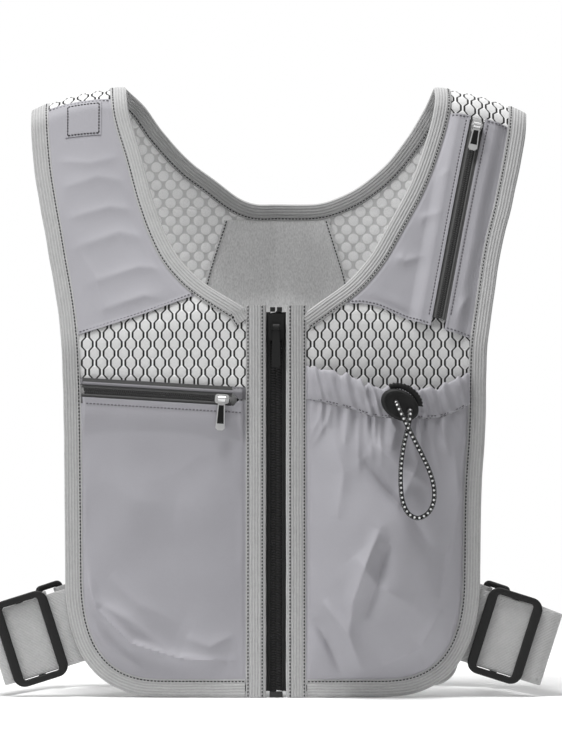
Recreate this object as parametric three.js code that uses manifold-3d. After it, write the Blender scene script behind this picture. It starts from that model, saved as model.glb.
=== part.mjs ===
// A zip-front vest of mesh and nylon, standing on its hems: two front panels, a back, bindings on every
// edge, three zips, a bellows pocket with a drawcord, and an elastic strap with a slider on each side.
// Millimetres. +Z is up, the front faces -Y, and the wearer's left is +X.
import * as THREE from 'three';
import { mergeVertices } from 'three/addons/utils/BufferGeometryUtils.js';
import Module from 'manifold-3d';

const wasm = await Module();
wasm.setup();

// ---- driving dimensions ------------------------------------------------------------------------------
const height = 409; // hem to the crest of the shoulder
const halfDepth = 60; // middle of the vest to the front or back wall, on the centre line
const halfWidth = 141; // centre line to the side edge, above the rounded hem corner
const backHalfWidth = 126;
const shoulderWidth = 64; // one shoulder, across both of its bindings
const shoulderOut = 25; // how far the shoulder's end stands out past the side edge
const shoulderFall = 16; // drop of the crest from the neck to the shoulder's end
const crestRadius = 21; // over the shoulder, at the neck
const sideTurn = 0.045; // how far a wall turns in for each mm from the centre line
const foldHeight = 270; // where the walls start to lean in, on the centre line
const foldFall = 0.25; // how much lower that fold is for each mm from the centre line
const foldRadius = 60;
const neckDrop = 76; // crest down to the lowest point of the back neck

const gap = 0.3; // between neighbouring pieces
const meshThickness = 1.2; // the spacer mesh that everything is sewn to
const skinThickness = 0.5; // nylon
const bindingWidth = 12;
const centreBindingWidth = 13.5;
const neckBindingWidth = 11;
const bindingWall = 1;
const bindingGrip = 0.4; // room between a binding and the mesh it wraps
const edgeTuck = 2.5; // the mesh stops this far inside a finished edge
const seamRoom = 1.2; // between two bindings that meet end to end
const cornerWidth = 69; // rounded hem corner of the front
const cornerHeight = 86;
const cornerPower = 2.6;
const backCorner = 18;

const webbingWidth = 50;
const webbingThickness = 1.5;
const strapTilt = THREE.MathUtils.degToRad(17.5);
const strapHeight = 47; // centre of a strap above the hem, where it leaves the front
const strapReach = 52; // from the front's edge to the fold of the strap
const buckleLength = 38; // along the strap
const buckleBar = 6;
const buckleThickness = 2.6;
const ringBar = 4;
const ringLength = 20;

const mainZip = { bottom: 4, top: 257, tooth: 4, toothHeight: 3.2, tape: 12, slider: 18, sliderAt: 247 };
const pocketZip = { tooth: 2, toothHeight: 1.8, tape: 6.5, slider: 9.5, pullLength: 21 };
const shoulderZip = { tooth: 2, toothHeight: 1.8, tape: 7.5, slider: 9.5, pullLength: 18 };
const zipMiddle = 1.1; // between the two rows of teeth, where the slider's post runs
const tapeThickness = 0.5;
const raisedTape = 3.5; // how far the pocket and shoulder tapes lie over the mesh

const pocketDepth = 24; // how far the bellows pocket stands out
const mouthDepth = 9; // how far its gathered mouth stands out
const hemThickness = 5.4;
const hemWall = 0.8;
const cordDiameter = 3;
const cordSides = 8;

// ---- finishes ----------------------------------------------------------------------------------------
const finishes = {
  nylon: { color: 0x9a9aa3, roughness: 0.6, metalness: 0 },
  mesh: { color: 0xe4e4e4, roughness: 0.8, metalness: 0 },
  lining: { color: 0xa8a8ab, roughness: 0.9, metalness: 0 },
  binding: { color: 0xb4b5b6, roughness: 0.85, metalness: 0 },
  webbing: { color: 0xc2c2c3, roughness: 0.85, metalness: 0 },
  tape: { color: 0x2a2a2c, roughness: 0.8, metalness: 0 },
  teeth: { color: 0x141416, roughness: 0.45, metalness: 0 },
  plastic: { color: 0x161618, roughness: 0.5, metalness: 0 },
  silver: { color: 0xc9cbce, roughness: 0.25, metalness: 1 },
  cord: { color: 0x18181a, roughness: 0.8, metalness: 0 },
};

// ---- solids ------------------------------------------------------------------------------------------
function toSolid(geometry) {
  const bare = geometry.clone();
  bare.deleteAttribute('normal');
  bare.deleteAttribute('uv');
  const merged = mergeVertices(bare, 1e-4);
  const mesh = new wasm.Mesh({
    numProp: 3,
    vertProperties: new Float32Array(merged.attributes.position.array),
    triVerts: new Uint32Array(merged.index.array),
  });
  return new wasm.Manifold(mesh);
}

function toGeometry(solid) {
  const { vertProperties, triVerts } = solid.getMesh();
  const geometry = new THREE.BufferGeometry();
  geometry.setAttribute('position', new THREE.BufferAttribute(new Float32Array(vertProperties), 3));
  geometry.setIndex(new THREE.BufferAttribute(new Uint32Array(triVerts), 1));
  return geometry;
}

const join = (first, ...rest) => toGeometry(rest.reduce((a, b) => a.add(toSolid(b)), toSolid(first)));
const cut = (first, ...rest) => toGeometry(rest.reduce((a, b) => a.subtract(toSolid(b)), toSolid(first)));

// A box between two corners.
function block(low, high) {
  const size = high.map((value, i) => value - low[i]);
  const middle = high.map((value, i) => (value + low[i]) / 2);
  return new THREE.BoxGeometry(...size).translate(...middle);
}

// A closed body between an outer and an inner sheet, each given as rows of equally many points.
function bandSolid(rows) {
  const count = rows[0].outer.length;
  const last = rows.length - 1;
  const points = rows.flatMap(({ outer, inner }) => [...outer, ...inner]);
  const faces = [];
  const at = (row, sheet, i) => (row * 2 + sheet) * count + i;
  const quad = (a, b, c, d) => faces.push(a, b, c, a, c, d);
  for (let r = 0; r < last; r++) {
    for (let i = 0; i + 1 < count; i++) {
      quad(at(r, 0, i), at(r, 0, i + 1), at(r + 1, 0, i + 1), at(r + 1, 0, i));
      quad(at(r, 1, i + 1), at(r, 1, i), at(r + 1, 1, i), at(r + 1, 1, i + 1));
    }
    quad(at(r, 1, 0), at(r, 0, 0), at(r + 1, 0, 0), at(r + 1, 1, 0));
    quad(at(r, 0, count - 1), at(r, 1, count - 1), at(r + 1, 1, count - 1), at(r + 1, 0, count - 1));
  }
  for (let i = 0; i + 1 < count; i++) {
    quad(at(0, 0, i + 1), at(0, 0, i), at(0, 1, i), at(0, 1, i + 1));
    quad(at(last, 0, i), at(last, 0, i + 1), at(last, 1, i + 1), at(last, 1, i));
  }
  const volume = faces.reduce((sum, index, k) => {
    if (k % 3) return sum;
    const [a, b, c] = [points[index], points[faces[k + 1]], points[faces[k + 2]]];
    return sum + a.dot(b.clone().cross(c));
  }, 0);
  if (volume < 0) faces.reverse();
  const geometry = new THREE.BufferGeometry().setFromPoints(points);
  geometry.setIndex(faces);
  return geometry;
}

// A flat strip of one thickness along a line of 2-D points, extruded to a width and centred on it.
function ribbon(line, thickness, width) {
  const side = (sign) => line.map((point, i) => {
    const before = line[Math.max(i - 1, 0)];
    const after = line[Math.min(i + 1, line.length - 1)];
    const along = after.clone().sub(before).normalize();
    return new THREE.Vector2(point.x - along.y * sign * thickness / 2, point.y + along.x * sign * thickness / 2);
  });
  const shape = new THREE.Shape([...side(1), ...side(-1).reverse()]);
  return new THREE.ExtrudeGeometry(shape, { depth: width, bevelEnabled: false }).translate(0, 0, -width / 2);
}

// A round tube along a list of points, with a step every other diameter or so.
function tube(points, steps) {
  const circle = new THREE.Shape();
  circle.absarc(0, 0, cordDiameter / 2, 0, 2 * Math.PI);
  const extrudePath = new THREE.CatmullRomCurve3(points);
  return new THREE.ExtrudeGeometry(circle, { extrudePath, steps, curveSegments: cordSides / 2, bevelEnabled: false });
}

// A rectangle with round corners, centred on the origin.
function roundedRectangle(width, depth, radius) {
  const shape = new THREE.Shape();
  const [x, y] = [width / 2 - radius, depth / 2 - radius];
  shape.absarc(x, y, radius, 0, Math.PI / 2);
  shape.absarc(-x, y, radius, Math.PI / 2, Math.PI);
  shape.absarc(-x, -y, radius, Math.PI, 1.5 * Math.PI);
  shape.absarc(x, -y, radius, 1.5 * Math.PI, 2 * Math.PI);
  return shape;
}

function plate(shape, low, high, curveSegments = 2) {
  return new THREE.ExtrudeGeometry(shape, { depth: high - low, bevelEnabled: false, curveSegments })
    .translate(0, 0, low);
}

// ---- the cloth surface -------------------------------------------------------------------------------
// A place on the vest is (x, along): along runs from the front hem, up over the shoulder's crest and
// down to the back hem. Lift is how far outside the middle of the mesh a point lies.
const { lerp, smoothstep, clamp } = THREE.MathUtils;
const shoulderInner = halfWidth + shoulderOut - shoulderWidth;
const foldAt = (x) => foldHeight - foldFall * Math.abs(x);
const depthAt = (x) => halfDepth - sideTurn * Math.abs(x);

function leanAngle() {
  const across = depthAt(shoulderInner);
  const rise = height - foldAt(shoulderInner) - crestRadius;
  return Math.acos(crestRadius / Math.hypot(across, rise)) - Math.atan2(rise, across);
}
const lean = leanAngle();

function crest(x) {
  const out = Math.max(0, Math.abs(x) - shoulderInner) / shoulderWidth;
  const top = height - shoulderFall * out ** 2;
  const reach = depthAt(x) * Math.cos(lean) - (top - foldAt(x)) * Math.sin(lean);
  const radius = reach / (1 - Math.sin(lean));
  return { radius, centre: top - radius };
}

// Lengths along the cloth, at x, where the fold starts and ends, the crest starts and its top is.
function stretches(x) {
  const { radius, centre } = crest(x);
  const foldStart = foldAt(x) - foldRadius * Math.tan(lean / 2);
  const foldEnd = foldStart + foldRadius * lean;
  const foldTop = foldStart + foldRadius * Math.sin(lean);
  const crestStart = foldEnd + (centre + radius * Math.sin(lean) - foldTop) / Math.cos(lean);
  const half = crestStart + radius * (Math.PI / 2 - lean);
  return { radius, centre, foldStart, foldEnd, foldTop, crestStart, half };
}

const halfLength = stretches(shoulderInner).half;
const evenBelow = 300; // lengths are true below this, and shared out above it so that the crest is one line
const share = (along) => smoothstep(along, evenBelow, halfLength);

function wall(x, along) {
  const { radius, centre, foldStart, foldEnd, foldTop, crestStart, half } = stretches(x);
  const s = along + share(along) * (half - halfLength);
  const turn = clamp((s - foldStart) / foldRadius, 0, lean);
  const folded = -depthAt(x) + foldRadius * (1 - Math.cos(turn));
  if (s <= foldStart) return new THREE.Vector3(x, folded, s);
  if (s <= foldEnd) return new THREE.Vector3(x, folded, foldStart + foldRadius * Math.sin(turn));
  if (s <= crestStart) {
    return new THREE.Vector3(x, folded + (s - foldEnd) * Math.sin(lean), foldTop + (s - foldEnd) * Math.cos(lean));
  }
  const angle = lean + (s - crestStart) / radius;
  return new THREE.Vector3(x, -radius * Math.cos(angle), centre + radius * Math.sin(angle));
}

function middleOfCloth(x, along) {
  if (along <= halfLength) return wall(x, along);
  const point = wall(x, 2 * halfLength - along);
  point.y = -point.y;
  return point;
}

function clothNormal(x, along) {
  const step = 0.05;
  const across = middleOfCloth(x + step, along).sub(middleOfCloth(x - step, along));
  const up = middleOfCloth(x, along + step).sub(middleOfCloth(x, along - step));
  return across.cross(up).normalize();
}

const cloth = (x, along, lift = 0) => middleOfCloth(x, along).addScaledVector(clothNormal(x, along), lift);

// The length along the front wall at which the cloth at x reaches a height.
function alongTo(z, x) {
  const { radius, centre, foldStart, foldEnd, foldTop, crestStart, half } = stretches(x);
  let s = z;
  if (z > foldStart) s = foldStart + foldRadius * Math.asin(Math.min((z - foldStart) / foldRadius, 1));
  if (z > foldTop) s = foldEnd + (z - foldTop) / Math.cos(lean);
  if (s > crestStart) s = crestStart + radius * (Math.asin(Math.min((z - centre) / radius, 1)) - lean);
  let along = s;
  for (let i = 0; i < 12; i++) along = s - share(along) * (half - halfLength);
  return along;
}

// ---- outlines ----------------------------------------------------------------------------------------
// A smooth line through [where, value] pairs.
function smoothLine(pairs) {
  const slope = (i) => {
    const [low, high] = [pairs[Math.max(i - 1, 0)], pairs[Math.min(i + 1, pairs.length - 1)]];
    return (high[1] - low[1]) / (high[0] - low[0]);
  };
  return (where) => {
    let i = pairs.findIndex(([end]) => end > where) - 1;
    if (i === -2) i = pairs.length - 2;
    i = Math.max(i, 0);
    const width = pairs[i + 1][0] - pairs[i][0];
    const t = clamp((where - pairs[i][0]) / width, 0, 1);
    const [a, b] = [pairs[i][1], pairs[i + 1][1]];
    const [m, n] = [slope(i) * width, slope(i + 1) * width];
    return a + m * t + (3 * (b - a) - 2 * m - n) * t ** 2 + (m + n - 2 * (b - a)) * t ** 3;
  };
}

// Levels run 0 at the hem, 1 at the fold of the chest and 2 at the crest.
const foldLevel = foldAt(halfWidth);
const atLevel = (level) => (level < 1 ? level * foldLevel : lerp(foldLevel, halfLength, level - 1));
const centreEdge = 6.6; // centre line to the finished centre-front edge
const neckStart = centreEdge + centreBindingWidth + 2 * gap;

// One side of the vest. The side line is how far the edge stands out past halfWidth at each level. The
// neck lines give the share of the way from the neck's start, or the centre line, to the shoulder.
const right = {
  name: 'right',
  sign: -1,
  shoulderShift: 0,
  sideLine: [[0.36, 0], [0.79, 1], [1, 2.5], [1.15, 5.8], [1.32, 11.5], [1.63, 21], [1.85, 24.5], [2, 25]],
  neckLine: [[1.13, 0], [1.22, 0.33], [1.285, 0.49], [1.36, 0.61], [1.51, 0.75], [1.69, 0.865], [1.85, 0.97], [2, 1]],
  backNeck: [[0, 1], [0.14, 1], [0.26, 0.94], [0.43, 0.77], [0.58, 0.62], [0.76, 0.36], [0.88, 0.14], [1, 0]],
  seamDrop: [19, 12],
};
const left = {
  name: 'left',
  sign: 1,
  shoulderShift: 5,
  sideLine: [[0.35, -4.5], [0.59, -3.6], [0.77, -1], [0.98, 0], [1.15, 4.4], [1.34, 10], [1.53, 18], [1.83, 27], [2, 29]],
  neckLine: [[1.12, 0], [1.225, 0.31], [1.315, 0.48], [1.425, 0.62], [1.58, 0.8], [1.73, 0.92], [1.88, 1], [2, 1]],
  backNeck: [[0, 1], [0.24, 1], [0.37, 0.96], [0.53, 0.85], [0.69, 0.67], [0.82, 0.45], [0.94, 0.18], [1, 0]],
  seamDrop: [28, 26],
};
const sides = [right, left];

const crestInner = (side) => shoulderInner + side.shoulderShift;
const crestOuter = (side) => shoulderInner + shoulderWidth + side.sideLine.at(-1)[1] - shoulderOut;
const P = (x, along) => new THREE.Vector2(x, along);

// Finished outer edge of a front: along the hem, round the corner and up the side to the crest.
function frontEdge(side) {
  const bottom = halfWidth + side.sideLine[0][1];
  const points = [P(neckStart, 0), P(bottom - cornerWidth, 0)];
  const turns = 8;
  for (let i = 1; i <= turns; i++) {
    const angle = (i / turns) * Math.PI / 2;
    const x = bottom - cornerWidth * (1 - Math.sin(angle) ** (2 / cornerPower));
    points.push(P(x, cornerHeight * (1 - Math.cos(angle) ** (2 / cornerPower))));
  }
  const line = smoothLine(side.sideLine);
  const levels = [0.6, 0.8, 0.92, 0.96, 1, 1.04, 1.09, 1.15, 1.24, 1.34, 1.45, 1.57, 1.68, 1.77];
  for (const level of levels) points.push(P(halfWidth + line(level), atLevel(level)));
  for (const level of [1.82, 1.86, 1.9, 1.935, 1.97, 2]) points.push(P(halfWidth + line(level), atLevel(level)));
  return points;
}

// Finished neck edge of a front, from the centre binding up to the crest.
function frontNeck(side) {
  const line = smoothLine(side.neckLine);
  const levels = [1.12, 1.15, 1.18, 1.22, 1.26, 1.31, 1.36, 1.43, 1.51, 1.6, 1.7, 1.78, 1.84, 1.88, 1.91, 1.94, 1.97, 2];
  return levels.map((level) => P(lerp(neckStart, crestInner(side), line(level)), atLevel(level)));
}

// Finished neck edge of the back, from the crest down to the centre line.
function backNeck(side) {
  const line = smoothLine(side.backNeck);
  const shares = [1, 0.996, 0.983, 0.96, 0.927, 0.89, 0.85, 0.8, 0.74, 0.66, 0.56, 0.46, 0.36, 0.27, 0.18, 0.08, 0];
  return shares.map((part) => {
    const x = part * crestInner(side);
    return P(x, 2 * halfLength - alongTo(height - neckDrop * line(part), x));
  });
}

// Finished side edge of the back, from the crest down round the corner to the centre of the hem.
function backEdge(side) {
  const line = smoothLine([[0, 0], [0.8, 0], [1, 0.04], [1.2, 0.15], [1.45, 0.38], [1.7, 0.66], [1.9, 0.93], [2, 1]]);
  const levels = [1.97, 1.935, 1.9, 1.86, 1.82, 1.74, 1.62, 1.48, 1.34, 1.22, 1.12, 1.04, 1, 0.96, 0.9, 0.8, 0.5];
  const points = levels.map((level) => {
    const x = lerp(backHalfWidth, crestOuter(side), line(level));
    return P(x, 2 * halfLength - atLevel(level));
  });
  const turns = 5;
  for (let i = 0; i <= turns; i++) {
    const angle = (i / turns) * Math.PI / 2;
    const x = backHalfWidth - backCorner * (1 - Math.cos(angle));
    points.push(P(x, 2 * halfLength - backCorner * (1 - Math.sin(angle))));
  }
  points.push(P(55, 2 * halfLength), P(gap / 2, 2 * halfLength));
  return points;
}

// Unit directions pointing into the cloth from a line: turn is 1 where the cloth is on its left.
function inwards(points, turn) {
  return points.map((point, i) => {
    const along = points[Math.min(i + 1, points.length - 1)].clone().sub(points[Math.max(i - 1, 0)]);
    along.normalize();
    return P(-along.y * turn, along.x * turn);
  });
}

function insetLine(points, turn, distance) {
  const normals = inwards(points, turn);
  return points.map((point, i) => point.clone().addScaledVector(normals[i], distance));
}

// x of a line where it reaches a length along the cloth, found from its far end.
function acrossAt(points, along) {
  for (let i = points.length - 1; i > 0; i--) {
    const [a, b] = [points[i - 1], points[i]];
    if ((a.y - along) * (b.y - along) <= 0 && a.y !== b.y) return lerp(a.x, b.x, (along - a.y) / (b.y - a.y));
  }
  const [first, last] = [points[0], points.at(-1)];
  return Math.abs(first.y - along) < Math.abs(last.y - along) ? first.x : last.x;
}

// ---- sewn pieces -------------------------------------------------------------------------------------
// A panel between rows. A row has from(along) and to(along), both distances from the centre line, and
// along(x). Its middle lies at lift(x, along, u, v) over the middle of the mesh.
function panel(side, rows, columns, thickness, lift = () => 0) {
  const solve = (limit, row) => {
    let x = limit(row.along(100));
    for (let i = 0; i < 12; i++) x = limit(row.along(x));
    return x;
  };
  const sections = rows.map((row, j) => {
    const [from, to] = [solve(row.from, row), solve(row.to, row)];
    const sheet = (offset) => Array.from({ length: columns + 1 }, (_, i) => {
      const x = lerp(from, to, i / columns);
      const along = row.along(x);
      const middle = lift(x, along, i / columns, j / (rows.length - 1));
      return cloth(side.sign * x, along, middle + offset);
    });
    return { outer: sheet(thickness / 2), inner: sheet(-thickness / 2) };
  });
  return bandSolid(sections);
}

// A folded tape round an edge: one section for each point of the edge, and each wall in a few steps.
function binding(places, width, steps = 1) {
  const wallLift = meshThickness / 2 + bindingGrip;
  const outside = wallLift + bindingWall;
  const section = (place, deepest, lift) => {
    const depths = Array.from({ length: steps + 1 }, (_, i) => lerp(width, deepest, i / steps));
    const at = (depth, height) =>
      cloth(place.sign * (place.x + place.inward.x * depth), place.along + place.inward.y * depth, height);
    return [...depths.map((depth) => at(depth, lift)), ...depths.reverse().map((depth) => at(depth, -lift))];
  };
  return bandSolid(places.map((place) => ({
    outer: section(place, 0, outside),
    inner: section(place, bindingWall, wallLift),
  })));
}

function places(side, points, turn) {
  const normals = inwards(points, turn);
  return points.map((point, i) => ({ sign: side.sign, x: point.x, along: point.y, inward: normals[i] }));
}

const vest = new THREE.Group();

function add(name, geometry, finish, parent = vest) {
  const mesh = new THREE.Mesh(geometry, new THREE.MeshStandardMaterial(finishes[finish]));
  mesh.name = name;
  parent.add(mesh);
  return mesh;
}

const flat = (along) => () => along;
const skinLift = meshThickness / 2 + gap + skinThickness / 2;
const seamAt = (side) => (x) =>
  halfLength - lerp(...side.seamDrop, clamp((x - crestInner(side)) / shoulderWidth, 0, 1));
const crestRowsFrom = 372;

// Rows of a front that follow the shoulder: level at first, then turning into the shoulder seam.
function shoulderRows(side, from, to) {
  const steps = 6;
  return Array.from({ length: steps + 1 }, (_, i) => {
    const along = (x) => lerp(crestRowsFrom, seamAt(side)(x) - gap, i / steps);
    return { from, to, along };
  });
}

function frontMesh(side) {
  const edge = insetLine(frontEdge(side), 1, edgeTuck);
  const neck = insetLine(frontNeck(side), -1, edgeTuck);
  const neckFoot = neck[0].y;
  const from = (along) => (along < neckFoot ? centreEdge + edgeTuck : Math.max(acrossAt(neck, along), centreEdge + edgeTuck));
  const to = (along) => acrossAt(edge, along);
  const corner = edge.filter((point) => point.y < cornerHeight + edgeTuck).map((point) => point.y);
  const low = [...new Set(corner.map((along) => Math.max(along, edgeTuck)))];
  const foot = [neckFoot - gap, neckFoot + gap];
  const levels = [...low, 130, 180, 220, 226, 232, 238, 244, 250, ...foot, 261, 266, 271, 277, 284, 292, 303, 318, 335, 354];
  const rows = levels.map((along) => ({ from, to, along: flat(along) }));
  add(`${side.name}_front_mesh`, panel(side, [...rows, ...shoulderRows(side, from, to)], 6, meshThickness), 'mesh');
}

function frontBindings(side) {
  const edge = frontEdge(side);
  const seam = seamAt(side)(crestOuter(side));
  const below = edge.filter((point) => point.y < seam - 2);
  below.push(P(acrossAt(edge, seam - seamRoom), seam - seamRoom));
  add(`${side.name}_front_binding`, binding(places(side, below, 1), bindingWidth), 'binding');

  const top = foldHeight - 8.5;
  const centre = [0, 40, 80, 120, 160, 200, 230, 250, top].map((along) => P(centreEdge, along));
  add(`${side.name}_centre_binding`, binding(places(side, centre, -1), centreBindingWidth), 'binding');
}

function backBinding(side) {
  const seam = seamAt(side)(crestOuter(side));
  const front = frontEdge(side).filter((point) => point.y > seam + 2);
  front.unshift(P(acrossAt(frontEdge(side), seam), seam));
  const points = [...front, ...backEdge(side)];
  add(`${side.name}_back_binding`, binding(places(side, points, 1), bindingWidth), 'binding');
}

function neckBinding() {
  const half = (side) => places(side, [...frontNeck(side), ...backNeck(side).slice(1)], -1);
  const path = [...half(right), ...half(left).slice(0, -1).reverse()];
  add('neck_binding', binding(path, neckBindingWidth, 2), 'binding');
}

function backMesh(side) {
  const edge = insetLine(backEdge(side), 1, edgeTuck);
  const outer = (along) => (along < edge[0].y
    ? acrossAt(insetLine(frontEdge(side), 1, edgeTuck), Math.min(along, halfLength))
    : acrossAt(edge, along));
  const neck = insetLine(backNeck(side), -1, edgeTuck);
  const foot = neck.at(-1).y;
  const inner = (along) => {
    if (along > foot - 0.01) return gap / 2;
    return along < neck[0].y ? crestInner(side) + edgeTuck : Math.max(acrossAt(neck, along), gap / 2);
  };
  const overCrest = [];
  const steps = 14;
  const end = 2 * halfLength - crestRowsFrom;
  for (let i = 0; i <= steps; i++) {
    overCrest.push({ from: inner, to: outer, along: (x) => lerp(seamAt(side)(x), end, i / steps) });
  }
  const neckRows = neck.map((point) => point.y).filter((along) => along > end + 3);
  const last = 2 * halfLength;
  const fold = [276, 270, 265, 260, 255, 250, 244, 238, 232, 226, 220].map((along) => last - along);
  const corner = edge.filter((point) => point.y > last - backCorner - edgeTuck).map((point) => point.y);
  const low = corner.map((along) => Math.min(along, last - edgeTuck));
  const levels = [...new Set([...neckRows, last - 300, ...fold, last - 160, last - 100, last - 50, ...low])];
  const sorted = levels.sort((a, b) => a - b).filter((along, i, all) => i === 0 || along - all[i - 1] > 0.5);
  const rows = sorted.map((along) => ({ from: inner, to: outer, along: flat(along) }));
  add(`${side.name}_back_mesh`, panel(side, [...overCrest, ...rows], 6, meshThickness), 'mesh');
}

// The grey panel down the middle of the back and the heather lining inside it.
function backCentre() {
  const top = 2 * halfLength - alongTo(height - neckDrop, 0) + neckBindingWidth + gap;
  const hem = 2 * halfLength - bindingWidth - gap;
  const width = smoothLine([[0, 36], [0.15, 50], [0.35, 60], [0.6, 62], [1, 64]]);
  const half = (along) => width((along - top) / (hem - top));
  const fold = Array.from({ length: 11 }, (_, i) => 0.12 + 0.016 * i);
  const shares = [0, 0.04, 0.08, ...fold, 0.4, 0.6, 0.8, 1];
  const layer = (lift) => bandSolid(shares.map((part) => {
    const along = lerp(top, hem, part);
    const row = (offset) => Array.from({ length: 9 }, (_, i) => cloth((i / 4 - 1) * half(along), along, lift + offset));
    return { outer: row(skinThickness / 2), inner: row(-skinThickness / 2) };
  }));
  add('back_centre_panel', layer(skinLift), 'nylon');
  add('back_centre_lining', layer(-skinLift), 'lining');
}

// ---- zips --------------------------------------------------------------------------------------------
// A zip's own frame: x across it, y along it towards its closed end, z out of the cloth.
function zipGroup(foot, head, normal) {
  const group = new THREE.Group();
  const along = head.clone().sub(foot).normalize();
  const across = along.clone().cross(normal).normalize();
  const out = across.clone().cross(along);
  group.matrix.makeBasis(across, along, out).setPosition(foot);
  group.matrix.decompose(group.position, group.quaternion, group.scale);
  vest.add(group);
  return group;
}

function zipRows(group, zip, length, names) {
  const [inner, outer] = [zipMiddle / 2, zip.tooth];
  [-1, 1].forEach((sign, i) => {
    const tooth = block([Math.min(sign * inner, sign * outer), 0, -zip.toothHeight / 2],
      [Math.max(sign * inner, sign * outer), length, zip.toothHeight / 2]);
    add(`${names[i]}_teeth`, tooth, 'teeth', group);
    const near = sign * (outer + gap);
    const far = sign * (outer + zip.tape);
    const tape = block([Math.min(near, far), 0, -tapeThickness / 2], [Math.max(near, far), length, tapeThickness / 2]);
    add(`${names[i]}_tape`, tape, 'tape', group);
  });
}

// A slider: two plates joined by a thin post, with two ears that hold a pin over the front plate. The
// pull hangs on the pin. hang is the way the pull points in the zip's frame: 'down' or 'across'.
function zipSlider(group, zip, at, name, { finish, pullFinish, pullLength, pullWidth, hang }) {
  const plateGap = zip.toothHeight / 2 + gap + 0.1;
  const plateThickness = 1.2;
  const front = plateGap + plateThickness;
  const [width, length] = [2 * zip.tooth + 2.4, zip.slider];
  const pinRadius = 0.7;
  const eyeRadius = 2;
  const earGap = pullWidth / 2 + gap;
  const pinLift = front + eyeRadius + gap;
  const place = new THREE.Group();
  place.position.set(0, at, 0);
  group.add(place);

  const body = roundedRectangle(width, length, 2);
  const post = block([-0.25, length / 2 - 3.4, -front + 0.2], [0.25, length / 2 - 1, front - 0.2]);
  const turn = hang === 'across' ? Math.PI / 2 : 0;
  const ear = (sign) => {
    const inner = sign * earGap;
    const outer = sign * (earGap + 1);
    return block([Math.min(inner, outer), -1.3, front - 0.3], [Math.max(inner, outer), 1.3, pinLift + 1.3])
      .rotateZ(turn);
  };
  const pin = new THREE.CylinderGeometry(pinRadius, pinRadius, 2 * earGap + 1, 10).rotateZ(Math.PI / 2)
    .translate(0, 0, pinLift).rotateZ(turn);
  const plates = [plate(body, plateGap, front), plate(body, -front, -plateGap)];
  add(`${name}_slider`, join(plates[0], plates[1], post, ear(-1), ear(1), pin), finish, place);

  const tab = pullPlate(pullWidth, pullLength, eyeRadius, pinRadius);
  add(`${name}_pull`, tab.rotateZ(hang === 'across' ? Math.PI / 2 : 0).translate(0, 0, pinLift), pullFinish, place);
  return place;
}

// A pull: a barrel round the pin, and a flat tab that widens towards its end.
function pullPlate(pullWidth, pullLength, eyeRadius, pinRadius) {
  const barrel = new THREE.CylinderGeometry(eyeRadius, eyeRadius, pullWidth, 12).rotateZ(Math.PI / 2);
  const bore = new THREE.CylinderGeometry(pinRadius + gap, pinRadius + gap, pullWidth + 2, 10).rotateZ(Math.PI / 2);
  const tab = new THREE.Shape();
  const half = pullWidth / 2;
  tab.moveTo(-half, -pinRadius - 0.8);
  tab.lineTo(-half - 0.8, -pullLength + 1.5);
  tab.lineTo(-half + 0.7, -pullLength);
  tab.lineTo(half - 0.7, -pullLength);
  tab.lineTo(half + 0.8, -pullLength + 1.5);
  tab.lineTo(half, -pinRadius - 0.8);
  const flatTab = plate(tab, -0.75, 0.75);
  return toGeometry(toSolid(barrel).add(toSolid(flatTab)).subtract(toSolid(bore)));
}

function mainZipper() {
  const behind = meshThickness / 2 + bindingGrip + bindingWall + gap + tapeThickness / 2;
  const turned = sideTurn * (mainZip.tooth + mainZip.tape);
  const foot = new THREE.Vector3(0, -halfDepth + behind + turned, mainZip.bottom);
  const head = foot.clone().setZ(mainZip.top);
  const group = zipGroup(foot, head, new THREE.Vector3(0, -1, 0));
  const length = mainZip.top - mainZip.bottom;
  zipRows(group, mainZip, length, ['main_zip_right', 'main_zip_left']);
  zipSlider(group, mainZip, mainZip.sliderAt - mainZip.bottom, 'main_zip', {
    finish: 'plastic', pullFinish: 'plastic', pullLength: 27, pullWidth: 4.4, hang: 'down' });
  const reach = mainZip.tooth;
  const stop = (sign) => block([Math.min(sign * 0.6, sign * reach), length + gap, -1.4],
    [Math.max(sign * 0.6, sign * reach), length + gap + 3, 1.4]);
  add('main_zip_right_stop', stop(-1), 'silver', group);
  add('main_zip_left_stop', stop(1), 'silver', group);
  add('main_zip_box', cut(block([-4.4, -4, -2], [4.4, -gap, 2]), block([0.3, -3, -1], [3.4, 0, 1])), 'silver', group);
  add('main_zip_pin', block([0.6, -2.7, -0.7], [3.1, -0.05 - gap / 2, 0.7]), 'silver', group);
}

const onCloth = (sign, x, z, lift) => cloth(sign * x, alongTo(z, x), lift);

// The zip of the right-hand pocket: nearly level, with its slider at the centre end.
const pocketZipInner = { x: 31, z: 198.8 };
const pocketZipOuter = { x: 128, z: 204.6 };
function pocketZipper() {
  const foot = onCloth(-1, pocketZipOuter.x, pocketZipOuter.z, raisedTape);
  const head = onCloth(-1, pocketZipInner.x, pocketZipInner.z, raisedTape);
  const group = zipGroup(foot, head, clothNormal(-80, 200));
  const length = foot.distanceTo(head);
  zipRows(group, pocketZip, length, ['pocket_zip_upper', 'pocket_zip_lower']);
  zipSlider(group, pocketZip, length - pocketZip.slider / 2, 'pocket_zip', {
    finish: 'silver', pullFinish: 'silver', pullLength: pocketZip.pullLength, pullWidth: 4.6, hang: 'across' });
}

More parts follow.
